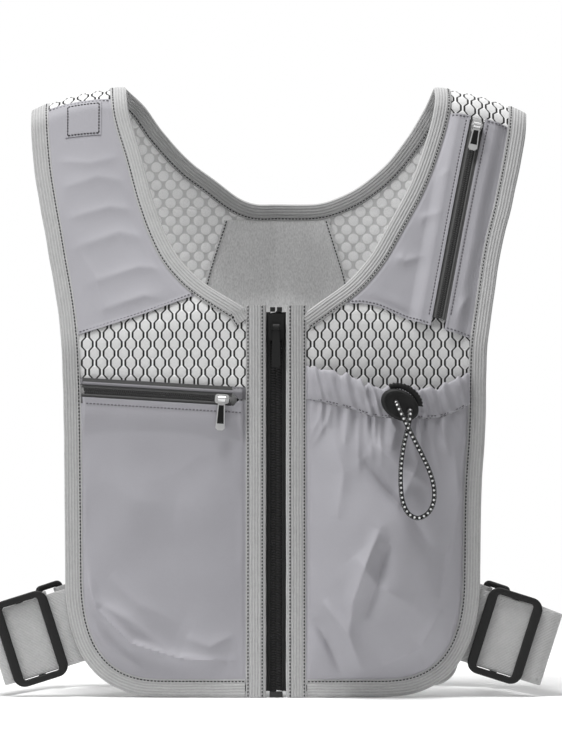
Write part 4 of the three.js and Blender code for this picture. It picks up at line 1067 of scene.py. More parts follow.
def left_yoke():
    """The yoke in two halves beside its zip, rising over the zip's tapes."""
    inner, outer = beside_bindings(LEFT)
    foot = float(along_to(SHOULDER_FOOT[1], np.float64(SHOULDER_FOOT[0])))
    head = float(along_to(SHOULDER_HEAD[1], np.float64(SHOULDER_HEAD[0])))

    def zip_at(along):
        return lerp(SHOULDER_FOOT[0], SHOULDER_HEAD[0], (along - foot) / (head - foot))

    def to_zip(along):
        return zip_at(along) - WINDOW

    def from_zip(along):
        return np.minimum(zip_at(along) + WINDOW, outer(along) - 1)

    def beside_zip(away):
        return lerp(RAISED, SKIN_LIFT, smoothstep(away, SHOULDER_TAPE + 4, SHOULDER_TAPE + 14))

    for name, low, high, columns in (("inner", inner, to_zip, 70), ("outer", from_zip, outer, 44)):
        grid = yoke_grid(left_seam, low, high, LEFT, columns)
        x, along = grid
        away = np.abs(x - zip_at(along))
        turned = hem_curl(along - left_seam(x)) + hem_curl(seam_at(LEFT)(x) - along)
        turned = turned + hem_curl(away - WINDOW, 1.6)
        folds = 1.6 * folds_at(grid, LEFT_YOKE_FOLDS) + 0.25 * noise(x, along, 30, 5) + 0.2
        calm = smoothstep(away, 8, 16) * edge_fade(grid, LEFT) * smoothstep(along - left_seam(x), 2, 12)
        lift = beside_zip(away) + folds * calm + turned
        layer(f"left_yoke_{name}_cloth", LEFT, grid, tucked(grid, LEFT, lift), SKIN, NYLON,
              [f"left_yoke_{name}"])
        for row, offset, seam in ((0, SEAM_STITCH, left_seam), (-1, -SEAM_STITCH, seam_at(LEFT))):
            line = np.linspace(float(x[row, 0]) + 1, float(x[row, -1]) - 1, 70)
            rise = beside_zip(np.abs(line - zip_at(seam(line))))
            stitched_line(LEFT, line, seam(line) + offset, rise + 0.55)
        beside = np.linspace(foot + 2, head - 1, 160)
        offset = -(WINDOW + 2.4) if name == "inner" else WINDOW + 2.4
        keep = np.minimum(zip_at(beside) + offset, outer(beside) - 2)
        stitched_line(LEFT, keep, beside, RAISED + 0.35)


POCKET_INNER = (31.0, 198.8)
POCKET_OUTER = (128.0, 204.6)
POCKET_TAPE = 6.5
ZIP_EDGE = 4.2  # from the middle of the pocket's zip to the cloth over it
RIGHT_POCKET_FOLDS = [
    ([(129, 88), (119, 58), (96, 36), (64, 26), (30, 24)], 5.0, 1.9),
    ([(124, 66), (98, 52), (70, 30)], 6, 1.1), ([(126, 50), (112, 34), (90, 20)], 6, 0.9),
    ([(112, 82), (92, 62), (62, 48)], 10, 0.7), ([(60, 40), (44, 34), (28, 42)], 7, 0.7),
    ([(120, 150), (96, 132), (66, 128)], 16, 0.35), ([(40, 170), (66, 150), (96, 140)], 16, 0.3),
]


def pocket_chain(x):
    """Length along the cloth of the pocket zip's middle line, over x."""
    part = (x - POCKET_INNER[0]) / (POCKET_OUTER[0] - POCKET_INNER[0])
    return lerp(POCKET_INNER[1], POCKET_OUTER[1], part)


def slit(x):
    """Half the width of the opening in the cloth over the pocket's zip: it closes at the zip's inner end."""
    return lerp(0.35, ZIP_EDGE, smoothstep(x, 24.5, 28.5))


def right_pocket():
    """The flat pocket's panel below its zip, and the narrow facing above the zip."""
    _, outer = beside_bindings(RIGHT)

    def start(along):
        return np.full_like(along, NECK_START + GAP - UNDER)

    grid = panel_grid(start, outer, lambda x, v: pocket_chain(x) + lerp(slit(x), ZIP_EDGE + 4.4, v),
                      np.linspace(0, 1, 16), 96)
    x, along = grid
    up = along - pocket_chain(x) - ZIP_EDGE
    lift = lerp(RAISED, SKIN_LIFT + 0.2, smoothstep(up, 0.6, 4.4))
    layer("right_pocket_facing_cloth", RIGHT, grid, tucked(grid, RIGHT, lift), SKIN, NYLON_DARKER,
          ["right_pocket_facing"])
    line = np.linspace(NECK_START + 1, 128, 150)
    stitched_line(RIGHT, line, pocket_chain(line) + ZIP_EDGE + 3.4, SKIN_LIFT + 0.9)

    hem = BINDING + GAP - UNDER

    def along_of(x, v):
        return lerp(hem, pocket_chain(x) - slit(x), v)

    v = np.r_[0, 0.004, np.linspace(0.01, 0.97, 120), 0.978, 0.984, 0.99, 0.995, 1]
    grid = panel_grid(start, outer, along_of, v, 110)
    x, along = grid
    u = (x - x[:, :1]) / (x[:, -1:] - x[:, :1])
    up = np.broadcast_to(v[:, None], x.shape)
    swell = 3.0 * (np.sin(np.pi * u) * np.maximum(np.sin(np.pi * up), 0)) ** 0.7
    top = smoothstep(along, pocket_chain(x) - 34, pocket_chain(x) - 12)
    folds = 3.0 * folds_at(grid, RIGHT_POCKET_FOLDS) + 1.0 * noise(x, along, 60, 21)
    low = smoothstep(along, BINDING + 1, BINDING + 7) * edge_fade(grid, RIGHT, 6)
    down = pocket_chain(x) - slit(x) - along
    lift = np.maximum(lerp(SKIN_LIFT, RAISED, top), SKIN_LIFT + swell)
    lift = lift + folds * low * smoothstep(down, 3, 26) + hem_curl(down, 1.6)
    lift = lerp(TUCKED_LIFT, lift, smoothstep(along, BINDING - 1, BINDING + 2))
    layer("right_pocket_panel_cloth", RIGHT, grid, tucked(grid, RIGHT, lift), SKIN, NYLON,
          ["right_pocket_panel"])
    line = np.linspace(NECK_START + 2, 127, 150)
    stitched_line(RIGHT, line, pocket_chain(line) - ZIP_EDGE - 4.2, RAISED + 0.4)


# ---- bellows pocket ----------------------------------------------------------------------------------
POCKET_DEPTH = 24
MOUTH_DEPTH = 9
HEM_THICKNESS = 5.4
hem_bottom = smooth_line([[21, 199], [49, 192.5], [65, 187.5], [105, 186.5], [118, 190], [130, 196]])
hem_top = smooth_line([[21, 221], [49, 214.5], [65, 207.5], [105, 206.5], [118, 212], [130, 217]])
HEM_INNER = NECK_START + GAP
HEM_OUTER = float(across_at(inset(front_edge(LEFT), 1, BINDING + GAP))(205))


def across_swell(u):
    return np.maximum(np.sin(np.pi * np.clip(u, 0, 1)), 0) ** 0.6


def hem_share(x):
    return np.clip((x - HEM_INNER) / (HEM_OUTER - HEM_INNER), 0, 1)


def hem_lift(x):
    return MESH / 2 + GAP + HEM_THICKNESS / 2 + MOUTH_DEPTH * across_swell(hem_share(x))


def gathers(x, seed):
    """Puckers of a gathered mouth: two sine waves of uneven pitch, each steeper on one side."""
    bend = x + 1.6 * np.sin(x / 5.3 + seed)
    return 0.6 * np.sin(bend * 2 * np.pi / 9.3 + seed) + 0.4 * np.sin(bend * 2 * np.pi / 5.9 + 2 * seed)


LEFT_POCKET_FOLDS = [
    ([(24, 54), (36, 32), (44, 14)], 5, -3.2), ([(30, 66), (48, 40), (58, 16)], 6, 2.6),
    ([(68, 114), (58, 90), (50, 64), (47, 36)], 7, 2.4), ([(74, 104), (66, 76), (58, 52)], 6, -1.6),
    ([(56, 160), (72, 140), (88, 122), (100, 104)], 6, -2.2), ([(62, 172), (84, 152), (104, 140)], 7, 2.0),
    ([(98, 176), (92, 152), (80, 128)], 6, 1.6), ([(36, 180), (44, 150), (40, 118)], 8, 1.3),
    ([(118, 168), (122, 130), (116, 92)], 5, 1.6), ([(110, 60), (96, 34), (70, 20)], 7, 2.0),
    ([(50, 96), (66, 76), (90, 62)], 11, 1.4), ([(124, 120), (112, 96), (108, 66)], 7, -1.4),
]


def pleats():
    """Short folds that fan out below the gathered mouth, each of its own length, slant and size."""
    draw = np.random.default_rng(12)
    lines = []
    for x in np.arange(26, 128, 6.8):
        x = x + draw.uniform(-1.8, 1.8)
        reach = draw.uniform(12, 48)
        slant = (x - 78) * 0.22 + draw.uniform(-7, 7)
        top = float(hem_bottom(x)) + 3
        lines.append(([(x, top), (x + slant * 0.3, top - reach * 0.45), (x + slant, top - reach)],
                      draw.uniform(2.4, 4.6), draw.uniform(1.3, 3.2)))
    return lines


def bellows_pocket():
    """The full pocket's panel, swelling from its hem to the gathered mouth."""
    inner_edge = HEM_INNER - UNDER
    _, outer = beside_bindings(LEFT)

    def start(along):
        return np.full_like(along, inner_edge)

    hem = BINDING + GAP - UNDER

    def along_of(x, v):
        return lerp(hem, hem_bottom(x) - 0.2, v)

    v = np.r_[0, 0.004, np.linspace(0.01, 1, 150)]
    grid = panel_grid(start, outer, along_of, v, 128)
    x, along = grid
    u = (x - x[:, :1]) / (x[:, -1:] - x[:, :1])
    up = np.broadcast_to(v[:, None], x.shape)
    rise = np.sin(np.minimum(up / 0.5, 1) * np.pi / 2) ** 0.8
    full = POCKET_DEPTH * rise * across_swell(u) + SKIN_LIFT
    lift = lerp(full, hem_lift(x), smoothstep(up, 0.5, 1))
    calm = (np.sin(np.pi * u) * np.sin(np.pi * np.clip(up, 0, 1))) ** 0.45
    ends = np.sin(np.pi * np.clip(u, 0.03, 0.97)) ** 0.4
    gathered = (1.4 * gathers(x, 0.6) * smoothstep(up, 0.86, 0.99) + folds_at(grid, pleats())) * ends
    folds = 3.0 * folds_at(grid, LEFT_POCKET_FOLDS) + 1.6 * noise(x, along, 44, 33)
    lift = lift + folds * calm + gathered
    lift = np.maximum(lift, TUCKED_LIFT)
    layer("left_pocket_cloth", LEFT, grid, tucked(grid, LEFT, lift), SKIN, NYLON,
          ["left_pocket_panel"], fullness=1.25)


def pocket_hem():
    """The gathered hem as a flattened tube: an oval carried along the mouth, puckered and frilled."""
    x = np.linspace(HEM_INNER - UNDER, HEM_OUTER + UNDER, 260)
    at = np.clip(x, HEM_INNER, HEM_OUTER)
    ends = np.sin(np.pi * np.clip(hem_share(x), 0.02, 0.98)) ** 0.35
    low, high = hem_bottom(at), hem_top(at)
    thick = np.maximum(ends, 0.8)
    frill = 2.6 * gathers(x, 2.2) * ends
    middle, half = (low + high) / 2, (high - low) / 2
    c, s = squared_off(turn_angles(40), 0.7, 0.8)
    along = middle[:, None] + (half[:, None] + np.where(s > 0, frill[:, None] * 0.8, 0)) * s[None]
    gathered = gathers(x[:, None] + 0.25 * (along - 200), 0.6)
    pucker = 1.9 * (gathered * 0.7 + 0.5 * noise(x[:, None], along, 13, 8))
    swell = HEM_THICKNESS / 2 * thick[:, None] + (pucker + 0.8) * ends[:, None] * (c > 0)[None]
    lift = hem_lift(at)[:, None] + np.maximum(swell, 2.0) * c[None]
    points = cloth(np.broadcast_to(x[:, None], along.shape), along, lift)
    body = tube(points, np.stack([points[0].mean(0), points[-1].mean(0)]))
    place = np.stack([np.broadcast_to(x[:, None], along.shape), along, 0 * along], -1).reshape(-1, 3)
    place = np.concatenate([place, place[:1], place[-1:]])
    put("pocket_hem_cloth", body, NYLON, ["pocket_hem"], place)
    line = np.linspace(HEM_INNER + 1.5, HEM_OUTER - 1.5, 220)
    lift = hem_lift(line) + 1.6 * np.sin(np.pi * hem_share(line)) ** 0.3 + 0.9 * gathers(line, 0.6)
    stitched_line(LEFT, line, hem_bottom(line) + 1.3, lift + 0.5)


def back_centre():
    """The grey panel down the middle of the back, and the heather lining inside it."""
    top = FULL - float(along_to(HEIGHT - NECK_DROP, np.float64(0))) + NECK_BINDING + GAP - UNDER
    hem = FULL - BINDING - GAP + UNDER
    width = smooth_line([[0, 36], [0.15, 50], [0.35, 60], [0.6, 62], [1, 64]])
    rows, columns = 200, 97
    part = np.linspace(0, 1, rows)
    along = np.broadcast_to(lerp(top, hem, part)[:, None], (rows, columns))
    half = width(part)[:, None]
    x = np.linspace(-1, 1, columns)[None] * half
    edge = half - np.abs(x)
    ends = np.minimum(part, 1 - part)[:, None] * (hem - top)
    room = smoothstep(np.minimum(edge, ends), 0, 12)
    both_sides = {"sign": 1}
    swell = (0.5 + 0.5 * noise(x, along, 70, 14)) * room
    flat = lerp(TUCKED_LIFT, SKIN_LIFT, smoothstep(ends, 0, 2)) + hem_curl(edge)
    layer("back_centre_panel_cloth", both_sides, (x, along), flat + swell, SKIN, NYLON,
          ["back_centre_panel"])
    layer("back_centre_lining_cloth", both_sides, (x, along), -flat - 0.5 * swell, SKIN, HEATHER,
          ["back_centre_lining"])
    for sign in (-1, 1):
        for face in (1, -1):
            line = sign * (width(part) - SEAM_STITCH)
            stitch(line, lerp(top, hem, part), np.full(rows, face * (SKIN_LIFT + 0.6)))


# ---- zips --------------------------------------------------------------------------------------------
def zip_frame(foot, head, normal):
    """A zip's place and its directions: across it, along it to its closed end, and out of the cloth."""
    along = unit(head - foot)
    across = unit(np.cross(along, normal))
    return foot, across, along, np.cross(across, along)


def in_frame(zip_of, points):
    foot, across, along, out = zip_of
    return foot + points[..., :1] * across + points[..., 1:2] * along + points[..., 2:] * out


def coil(zip_of, length, pitch, inner, outer, height, slant):
    """Two rows of small slanted rods that meet in the middle, one for each turn of the coil."""
    _, across, along, out = zip_of
    count = int(length / pitch)
    reach = outer - inner
    rod = capsule(np.hypot(reach, slant), pitch * 1.08, height, 6)
    bodies = []
    for sign in (-1, 1):
        middle = np.stack([np.full(count, sign * (inner + outer) / 2),
                           (np.arange(count) + 0.5 + 0.25 * sign) * length / count, np.zeros(count)], 1)
        forward = unit(sign * reach * across - slant * along)
        places = in_frame(zip_of, middle)
        axes = [np.broadcast_to(axis, places.shape) for axis in (np.cross(forward, out), forward, out)]
        bodies.append(copies(rod, places, *axes))
    return merge(bodies)


NARROWEST_SHEET = 10  # mm; zip_tape works out a tape's width and length in metres only when it is wider than this


def zip_tape(name, zip_of, sign, near, far, length, material, replaces, extra=0.0):
    """One side of a zip: a thin strip with a bead along its inner edge."""
    across = np.linspace(near, far, 26) * sign
    along = np.linspace(-extra, length + extra, 120)
    x, y = np.meshgrid(across, along)
    bead = 0.45 * np.exp(-((np.abs(x) - near - 0.8) / 0.7) ** 2)
    outer = in_frame(zip_of, np.stack([x, y, ZIP_TAPE / 2 + bead], -1))
    inner = in_frame(zip_of, np.stack([x, y, -ZIP_TAPE / 2 + 0 * x], -1))
    place = np.stack([x, y, 0 * x], -1).reshape(-1, 3)
    tape = put(name, thin_solid(outer, inner), material, replaces, np.concatenate([place, place]))
    if far - near > NARROWEST_SHEET:
        (far - near) * MM
        (length + 2 * extra) * MM


MAIN_BOTTOM, MAIN_TOP = 4, 257
MAIN_REACH = 16  # from the middle of the main zip to the outer edge of its tape
MAIN_BEHIND = BINDING_FACE + GAP + ZIP_TAPE / 2 + SIDE_TURN * MAIN_REACH
MAIN_FOOT = np.array([0, -HALF_DEPTH + MAIN_BEHIND, MAIN_BOTTOM])


def main_zip():
    zip_of = zip_frame(MAIN_FOOT, MAIN_FOOT + (0, 0, 1), np.array([0, -1.0, 0]))
    length = MAIN_TOP - MAIN_BOTTOM
    put("main_zip_chain", coil(zip_of, length, 1.75, -0.3, 4.1, 2.1, 0.8), TEETH_BLACK,
        ["main_zip_right_teeth", "main_zip_left_teeth"], sharp=70)
    for sign, side in ((-1, "right"), (1, "left")):
        zip_tape(f"main_zip_{side}_tape_cloth", zip_of, sign, 3.7, MAIN_REACH, length, TAPE_BLACK,
                 [f"main_zip_{side}_tape"])


def on_cloth(sign, at, lift):
    x, z = np.float64(at[0]), np.float64(at[1])
    return cloth(sign * x, along_to(z, x), lift)


def pocket_zip_frame():
    """The pocket zip's frame and length."""
    foot, head = on_cloth(-1, POCKET_OUTER, RAISED_TAPE), on_cloth(-1, POCKET_INNER, RAISED_TAPE)
    return zip_frame(foot, head, cloth_normal(-80.0, 200.0)), float(np.linalg.norm(head - foot))


def shoulder_zip_frame():
    """The shoulder zip's frame and length."""
    foot, head = on_cloth(1, SHOULDER_FOOT, RAISED_TAPE), on_cloth(1, SHOULDER_HEAD, RAISED_TAPE)
    return zip_frame(foot, head, cloth_normal(120.0, 320.0)), float(np.linalg.norm(head - foot))


def small_zip(name, zip_of, length, tape, halves, material, extra=0.0):
    put(f"{name}_chain", coil(zip_of, length, 1.3, -0.2, 2.0, 1.3, 0.3), TEETH_GREY,
        [f"{name}_{half}_teeth" for half in halves], sharp=70)
    for sign, half in zip((-1, 1), halves):
        zip_tape(f"{name}_{half}_tape_cloth", zip_of, sign, 1.9, tape + 2, length, material,
                 [f"{name}_{half}_tape"], extra)


def zips():
    main_zip()
    small_zip("pocket_zip", *pocket_zip_frame(), POCKET_TAPE, ("upper", "lower"), TAPE_GREY, 1.6)
    small_zip("shoulder_zip", *shoulder_zip_frame(), SHOULDER_TAPE, ("inner", "outer"), TAPE_GREY)


# ---- drawcord ----------------------------------------------------------------------------------------
LOOP = [
    (79.6, -85.7, 196.7), (79.6, -88.2, 196.7), (79.6, -91, 196.6), (80.1, -94.4, 195.2),
    (81.4, -96.8, 192.2), (83.6, -97.8, 187.6), (86.6, -97.6, 181.4), (91, -95.8, 172.6),
    (96.2, -93, 162.6), (101.2, -89.8, 151.8), (104.3, -87.2, 141), (104.2, -85.6, 131.2),
    (100.6, -84.8, 123.8), (94, -84.6, 120.4), (87.6, -84.8, 123.4), (83.8, -85.4, 131.4),
    (82.4, -86.8, 143), (82.6, -89, 155.4), (84, -91.4, 167), (86, -93.4, 176.4),
    (87.6, -94, 182.8), (88.4, -92.6, 187.8), (88.4, -90.2, 190.6), (88.4, -87.8, 191.2),
    (88.4, -85.7, 191.2),
]
CORD_RADIUS = 1.5


def smooth_path(points, step):
    """A cubic through the points, each with the slope between its neighbours, its points a step apart."""
    points = np.asarray(points, float)
    slope = np.gradient(points, axis=0)
    t = np.linspace(0, 1, 24)[None, :, None]
    a, b, m, n = points[:-1, None], points[1:, None], slope[:-1, None], slope[1:, None]
    curve = a + m * t + (3 * (b - a) - 2 * m - n) * t ** 2 + (m + n - 2 * (b - a)) * t ** 3
    return resample(curve.reshape(-1, 3), step)


def carried(path, start):
    """Directions across and out at each point of a path, turned as little as possible on the way."""
    forward = unit(np.gradient(path, axis=0))
    across = np.zeros_like(path)
    across[0] = unit(np.cross(forward[0], start))
    for i in range(1, len(path)):
        across[i] = unit(across[i - 1] - forward[i] * np.dot(across[i - 1], forward[i]))
    return across, np.cross(forward, across)


def drawcord():
    path = smooth_path(LOOP, 1.0)
    across, out = carried(path, np.array([1.0, 0, 0]))
    angle = turn_angles(14)
    section = np.stack([np.cos(angle), np.sin(angle)], 1) * CORD_RADIUS
    body = sweep(path, across, out, section)
    turns = np.broadcast_to((angle / (2 * np.pi))[None], (len(path), len(angle)))
    run = np.broadcast_to(np.arange(len(path))[:, None] * 1.0, turns.shape)
    place = np.stack([run, turns, 0 * turns], -1)
    place = np.concatenate([place.reshape(-1, 3), [[0, 0, 0], [len(path), 0, 0]]])
    cord = put("drawcord_loop_cord", body, CORD, ["drawcord_loop"], place)


# ---- straps ------------------------------------------------------------------------------------------
STRAP_TILT = np.radians(17.5)
STRAP_HEIGHT = 47.0
STRAP_REACH = 52
WEBBING_WIDTH = 50
WEBBING_THICKNESS = 1.5
BUCKLE_LENGTH = 38
BUCKLE_BAR = 6.6
BUCKLE_SIDE = 4.6
BUCKLE_THICKNESS = 2.6
RING_BAR = 4
RING_LENGTH = 20
RING_TURN = -0.45


def arc(centre, radius, start, end, count):
    angle = np.linspace(start, end, count)
    return centre + radius * np.stack([np.cos(angle), np.sin(angle)], 1)


def webbing(name, line, place_of, replaces):
    """A flat tape: a thin section with round edges carried along a line in the strap's plane."""
    step = 0.8
    line = resample(np.asarray(line, float), step)
    forward = unit(np.gradient(line, axis=0))
    normal = np.stack([-forward[:, 1], forward[:, 0]], 1)
    rim = WEBBING_THICKNESS / 2
    half = WEBBING_WIDTH / 2 - rim
    bend = np.linspace(0, np.pi, 7)
    top = np.stack([np.linspace(-half, half, 30), np.full(30, rim)], 1)
    round_end = np.stack([half + rim * np.sin(bend), rim * np.cos(bend)], 1)[1:-1]
    section = np.vstack([top, round_end, top[::-1] * (1, -1), round_end[::-1] * (-1, 1)])
    origin, x_axis, y_axis, z_axis = place_of
    path = origin + line[:, :1] * x_axis + line[:, 1:] * y_axis
    out = normal[:, :1] * x_axis + normal[:, 1:] * y_axis
    body = sweep(path, np.broadcast_to(z_axis, path.shape), out, section)
    length = np.arange(len(path))[:, None] * step
    place = np.stack(np.broadcast_arrays(length, section[None, :, 0], 0.0), -1).reshape(-1, 3)
    place = np.concatenate([place, [[0, 0, 0], [float(length[-1, 0]), 0, 0]]])
    tape = put(name, body, WEBBING, replaces, place)


def rounded(width, length, radius, count=9):
    """A rectangle with round corners as points, the same number on each corner, whatever its size."""
    x, y = width / 2 - radius, length / 2 - radius
    corners = [((x, y), 0), ((-x, y), 0.5), ((-x, -y), 1), ((x, -y), 1.5)]
    return np.vstack([arc(np.array(centre), radius, turn * np.pi, (turn + 0.5) * np.pi, count)
                      for centre, turn in corners])


def frame_ring(length, width, end_bar, side_bar, thickness, corner=5.0):
    """A moulded frame: an oval section whose two ends lie on the outer and the inner rounded rectangle."""
    outer = rounded(length, width, corner)
    inner = rounded(length - 2 * end_bar, width - 2 * side_bar, 1.6)
    c, s = squared_off(turn_angles(16), 0.55, 0.7)
    flat = lerp(inner[:, None], outer[:, None], ((c + 1) / 2)[None, :, None])
    height = np.broadcast_to(s * thickness / 2, flat.shape[:2])
    points = np.concatenate([flat, height[..., None]], -1)
    rows, sides = height.shape
    at = np.arange(rows * sides).reshape(rows, sides)
    return outwards(points.reshape(-1, 3), ring_walls(np.concatenate([at, at[:1]])))


def turned_into(body, place_of, columns):
    """A body's own x, y and z laid along chosen axes of a place."""
    points, faces = body
    origin, axes = place_of[0], place_of[1:]
    moved = origin + sum(points[:, k:k + 1] * (axes[abs(c) - 1] * np.sign(c)) for k, c in enumerate(columns))
    return outwards(moved, faces)


def strap(side, buckle_at):
    """One side's elastic strap, its buckle, and the ring and tab that tie it to the back."""
    edge_x = float(across_at(front_edge(side))(STRAP_HEIGHT))
    outward = np.array([side["sign"] * np.cos(STRAP_TILT), 0, -np.sin(STRAP_TILT)])
    back = np.array([0, 1.0, 0])
    place_of = (np.array([side["sign"] * edge_x, 0, STRAP_HEIGHT]), outward, back, np.cross(outward, back))
    behind = BINDING_FACE + GAP + WEBBING_THICKNESS / 2
    front_y = -depth_at(edge_x) + behind
    back_y = depth_at(BACK_HALF_WIDTH) - behind
    wrap = np.hypot(RING_BAR / 2, RING_BAR / 2) + GAP + WEBBING_THICKNESS / 2
    tab_bar = np.array([5, back_y - wrap])
    pitch = RING_LENGTH - RING_BAR
    strap_bar = tab_bar + pitch * np.array([np.cos(RING_TURN), np.sin(RING_TURN)])
    fold_foot = np.array([STRAP_REACH - 8, front_y + 20])
    run = strap_bar - fold_foot
    heading = np.arctan2(run[1], run[0])
    outside = np.array([np.sin(heading), -np.cos(heading)]) * wrap
    t = np.linspace(0, 1, 30)[:, None]
    p0, p1 = np.array([STRAP_REACH - 7, front_y]), np.array([STRAP_REACH + 2, front_y])
    p2, p3 = np.array([STRAP_REACH + 5, front_y + 7]), fold_foot + outside
    bezier = p0 * (1 - t) ** 3 + 3 * p1 * t * (1 - t) ** 2 + 3 * p2 * t ** 2 * (1 - t) + p3 * t ** 3
    tail = np.array([np.cos(heading), np.sin(heading)])
    tail_start = strap_bar - outside
    line = np.vstack([[[-12, front_y]], bezier,
                      arc(strap_bar, wrap, heading - np.pi / 2, heading + np.pi / 2, 16),
                      [tail_start - tail * 6 + outside * 0.07, tail_start - tail * 18 + outside * 0.2]])
    name = side["name"]
    webbing(f"{name}_strap_webbing", line, place_of, [f"{name}_strap"])
    tab = np.vstack([[[-24, back_y], [-8, back_y]], arc(tab_bar, wrap, np.pi / 2, -np.pi / 2, 16),
                     [[tab_bar[0] - 7, back_y - 2 * wrap + 1.2], [tab_bar[0] - 20, back_y - 2 * wrap + 3]]])
    webbing(f"{name}_ring_tab_webbing", tab, place_of, [f"{name}_ring_tab"])

    inside = WEBBING_WIDTH + 2 * GAP
    ring = frame_ring(RING_LENGTH, inside + 2 * RING_BAR, RING_BAR, RING_BAR, RING_BAR, 4)
    middle = (tab_bar + strap_bar) / 2
    turn = np.array([[np.cos(RING_TURN), -np.sin(RING_TURN)], [np.sin(RING_TURN), np.cos(RING_TURN)]])
    points = ring[0].copy()
    points[:, [0, 2]] = points[:, [0, 2]] @ turn.T
    points = points + (middle[0], 0, middle[1])
    body = turned_into((points, ring[1]), place_of, (1, 3, 2))
    put(f"{name}_rear_ring_frame", body, PLASTIC, [f"{name}_rear_ring"], sharp=60)

    face = WEBBING_THICKNESS / 2 + GAP
    outer = inside + 2 * BUCKLE_SIDE
    frame_body = frame_ring(BUCKLE_LENGTH, outer, BUCKLE_BAR, BUCKLE_SIDE, BUCKLE_THICKNESS, 8)
    lift = np.array([buckle_at, 0, front_y - face - BUCKLE_THICKNESS / 2])
    bodies = [turned_into((frame_body[0] + lift, frame_body[1]), place_of, (1, 3, 2))]
    bar = capsule(outer - 1.5, 6, 2.2, 12)
    bar_points = bar[0] + (buckle_at, 0, front_y + face + 1.3)
    bodies.append(turned_into((bar_points, bar[1]), place_of, (1, 3, 2)))
    for end in (-1, 1):
        post = capsule(face * 2 + BUCKLE_THICKNESS + 1.2, 5.6, BUCKLE_SIDE - 0.5, 10)
        lie = post[0][:, [0, 2, 1]] + (buckle_at, end * (outer - BUCKLE_SIDE) / 2, front_y - 0.3)
        bodies.append(turned_into((lie, post[1]), place_of, (1, 3, 2)))
    put(f"{name}_strap_buckle_frame", merge(bodies), PLASTIC, [f"{name}_strap_buckle"],
        rides=f"{name}_strap_buckle", sharp=50)


# ---- pulls and cord lock -----------------------------------------------------------------------------
PULL_PIN = 4.8  # how far a small slider's pin stands out from the middle of its zip
SMALL_SLIDER = 9.5
LOCK_AT = (82, 195.2)  # x and z of the lock's middle
LOCK_DEPTH = 13
LOCK_OFF_HEM = 1
LOCK_TILT = np.radians(32)


def local_body(body, origin, axes):
    """A body from its own millimetres into the cloth's, by an origin and three directions."""
    points, faces = body
    return outwards(origin + points @ np.array(axes, float), faces)


def plate(start, end, first, last, low, high):
    """A flat tapering slab with rounded rims, along y from start to end."""
    v, u = np.meshgrid(np.linspace(0, 1, 17), np.linspace(-1, 1, 9), indexing="ij")
    rim = np.minimum(1 - np.abs(u), 4 * np.minimum(v, 1 - v))
    x = u * lerp(first, last, v) / 2
    y = lerp(start, end, v)
    top = high - 0.3 * smoothstep(rim, 0.3, 0)
    return thin_solid(np.stack([x, y, top], -1), np.stack([x, y, low + 0 * x], -1))


def pull_insert(name, zip_of, length, axes, start, end):
    """The black face of a small zip's pull, in front of its plate, with the slider at the zip's head."""
    origin = in_frame(zip_of, np.array([0, length - SMALL_SLIDER / 2, 0]))
    body = plate(start, end, 3.3, 4.5, PULL_PIN + 0.65, PULL_PIN + 1.15)
    put(f"{name}_insert", local_body(body, origin, axes), INSERT, rides=name)


def turned_disc(half_x, half_y, profile, count=64):
    """A profile of (size, height) pairs turned round z and stretched into an oval."""
    angle = turn_angles(count)
    size, height = np.array(profile, float).T
    x = half_x * size[:, None] * np.cos(angle)
    y = half_y * size[:, None] * np.sin(angle)
    points = np.stack([x, y, np.broadcast_to(height[:, None], x.shape)], -1).reshape(-1, 3)
    return outwards(points, ring_walls(np.arange(len(size) * count).reshape(len(size), count)))


def bored(obj, holes, radius):
    """Cuts round holes through a piece along y, at pairs of x and z in mm."""
    sides = 24
    angle = turn_angles(sides)
    ring = np.stack([np.cos(angle) * radius, 0 * angle, np.sin(angle) * radius], 1)
    rims = [tuple(range(sides)), tuple(range(2 * sides - 1, sides - 1, -1))]
    walls = [(k, sides + k, sides + (k + 1) % sides, (k + 1) % sides) for k in range(sides)]
    for x, z in holes:
        cutter = bpy.data.meshes.new("bore")
        ends = np.concatenate([ring + (x, -100, z), ring + (x, -60, z)])
        cutter.from_pydata((ends + ORIGIN) * MM, [], rims + walls)
        shape = bpy.data.objects.new("bore", cutter)
        bpy.context.scene.collection.objects.link(shape)
        cut = obj.modifiers.new("bore", "BOOLEAN")
        cut.object = shape
        cut.operation = "DIFFERENCE"
        cut.solver = "EXACT"
        bpy.context.view_layer.update()
        evaluated = obj.evaluated_get(bpy.context.evaluated_depsgraph_get())
        solid = bpy.data.meshes.new_from_object(evaluated)
        obj.modifiers.clear()
        obj.data = solid
        bpy.data.objects.remove(shape)


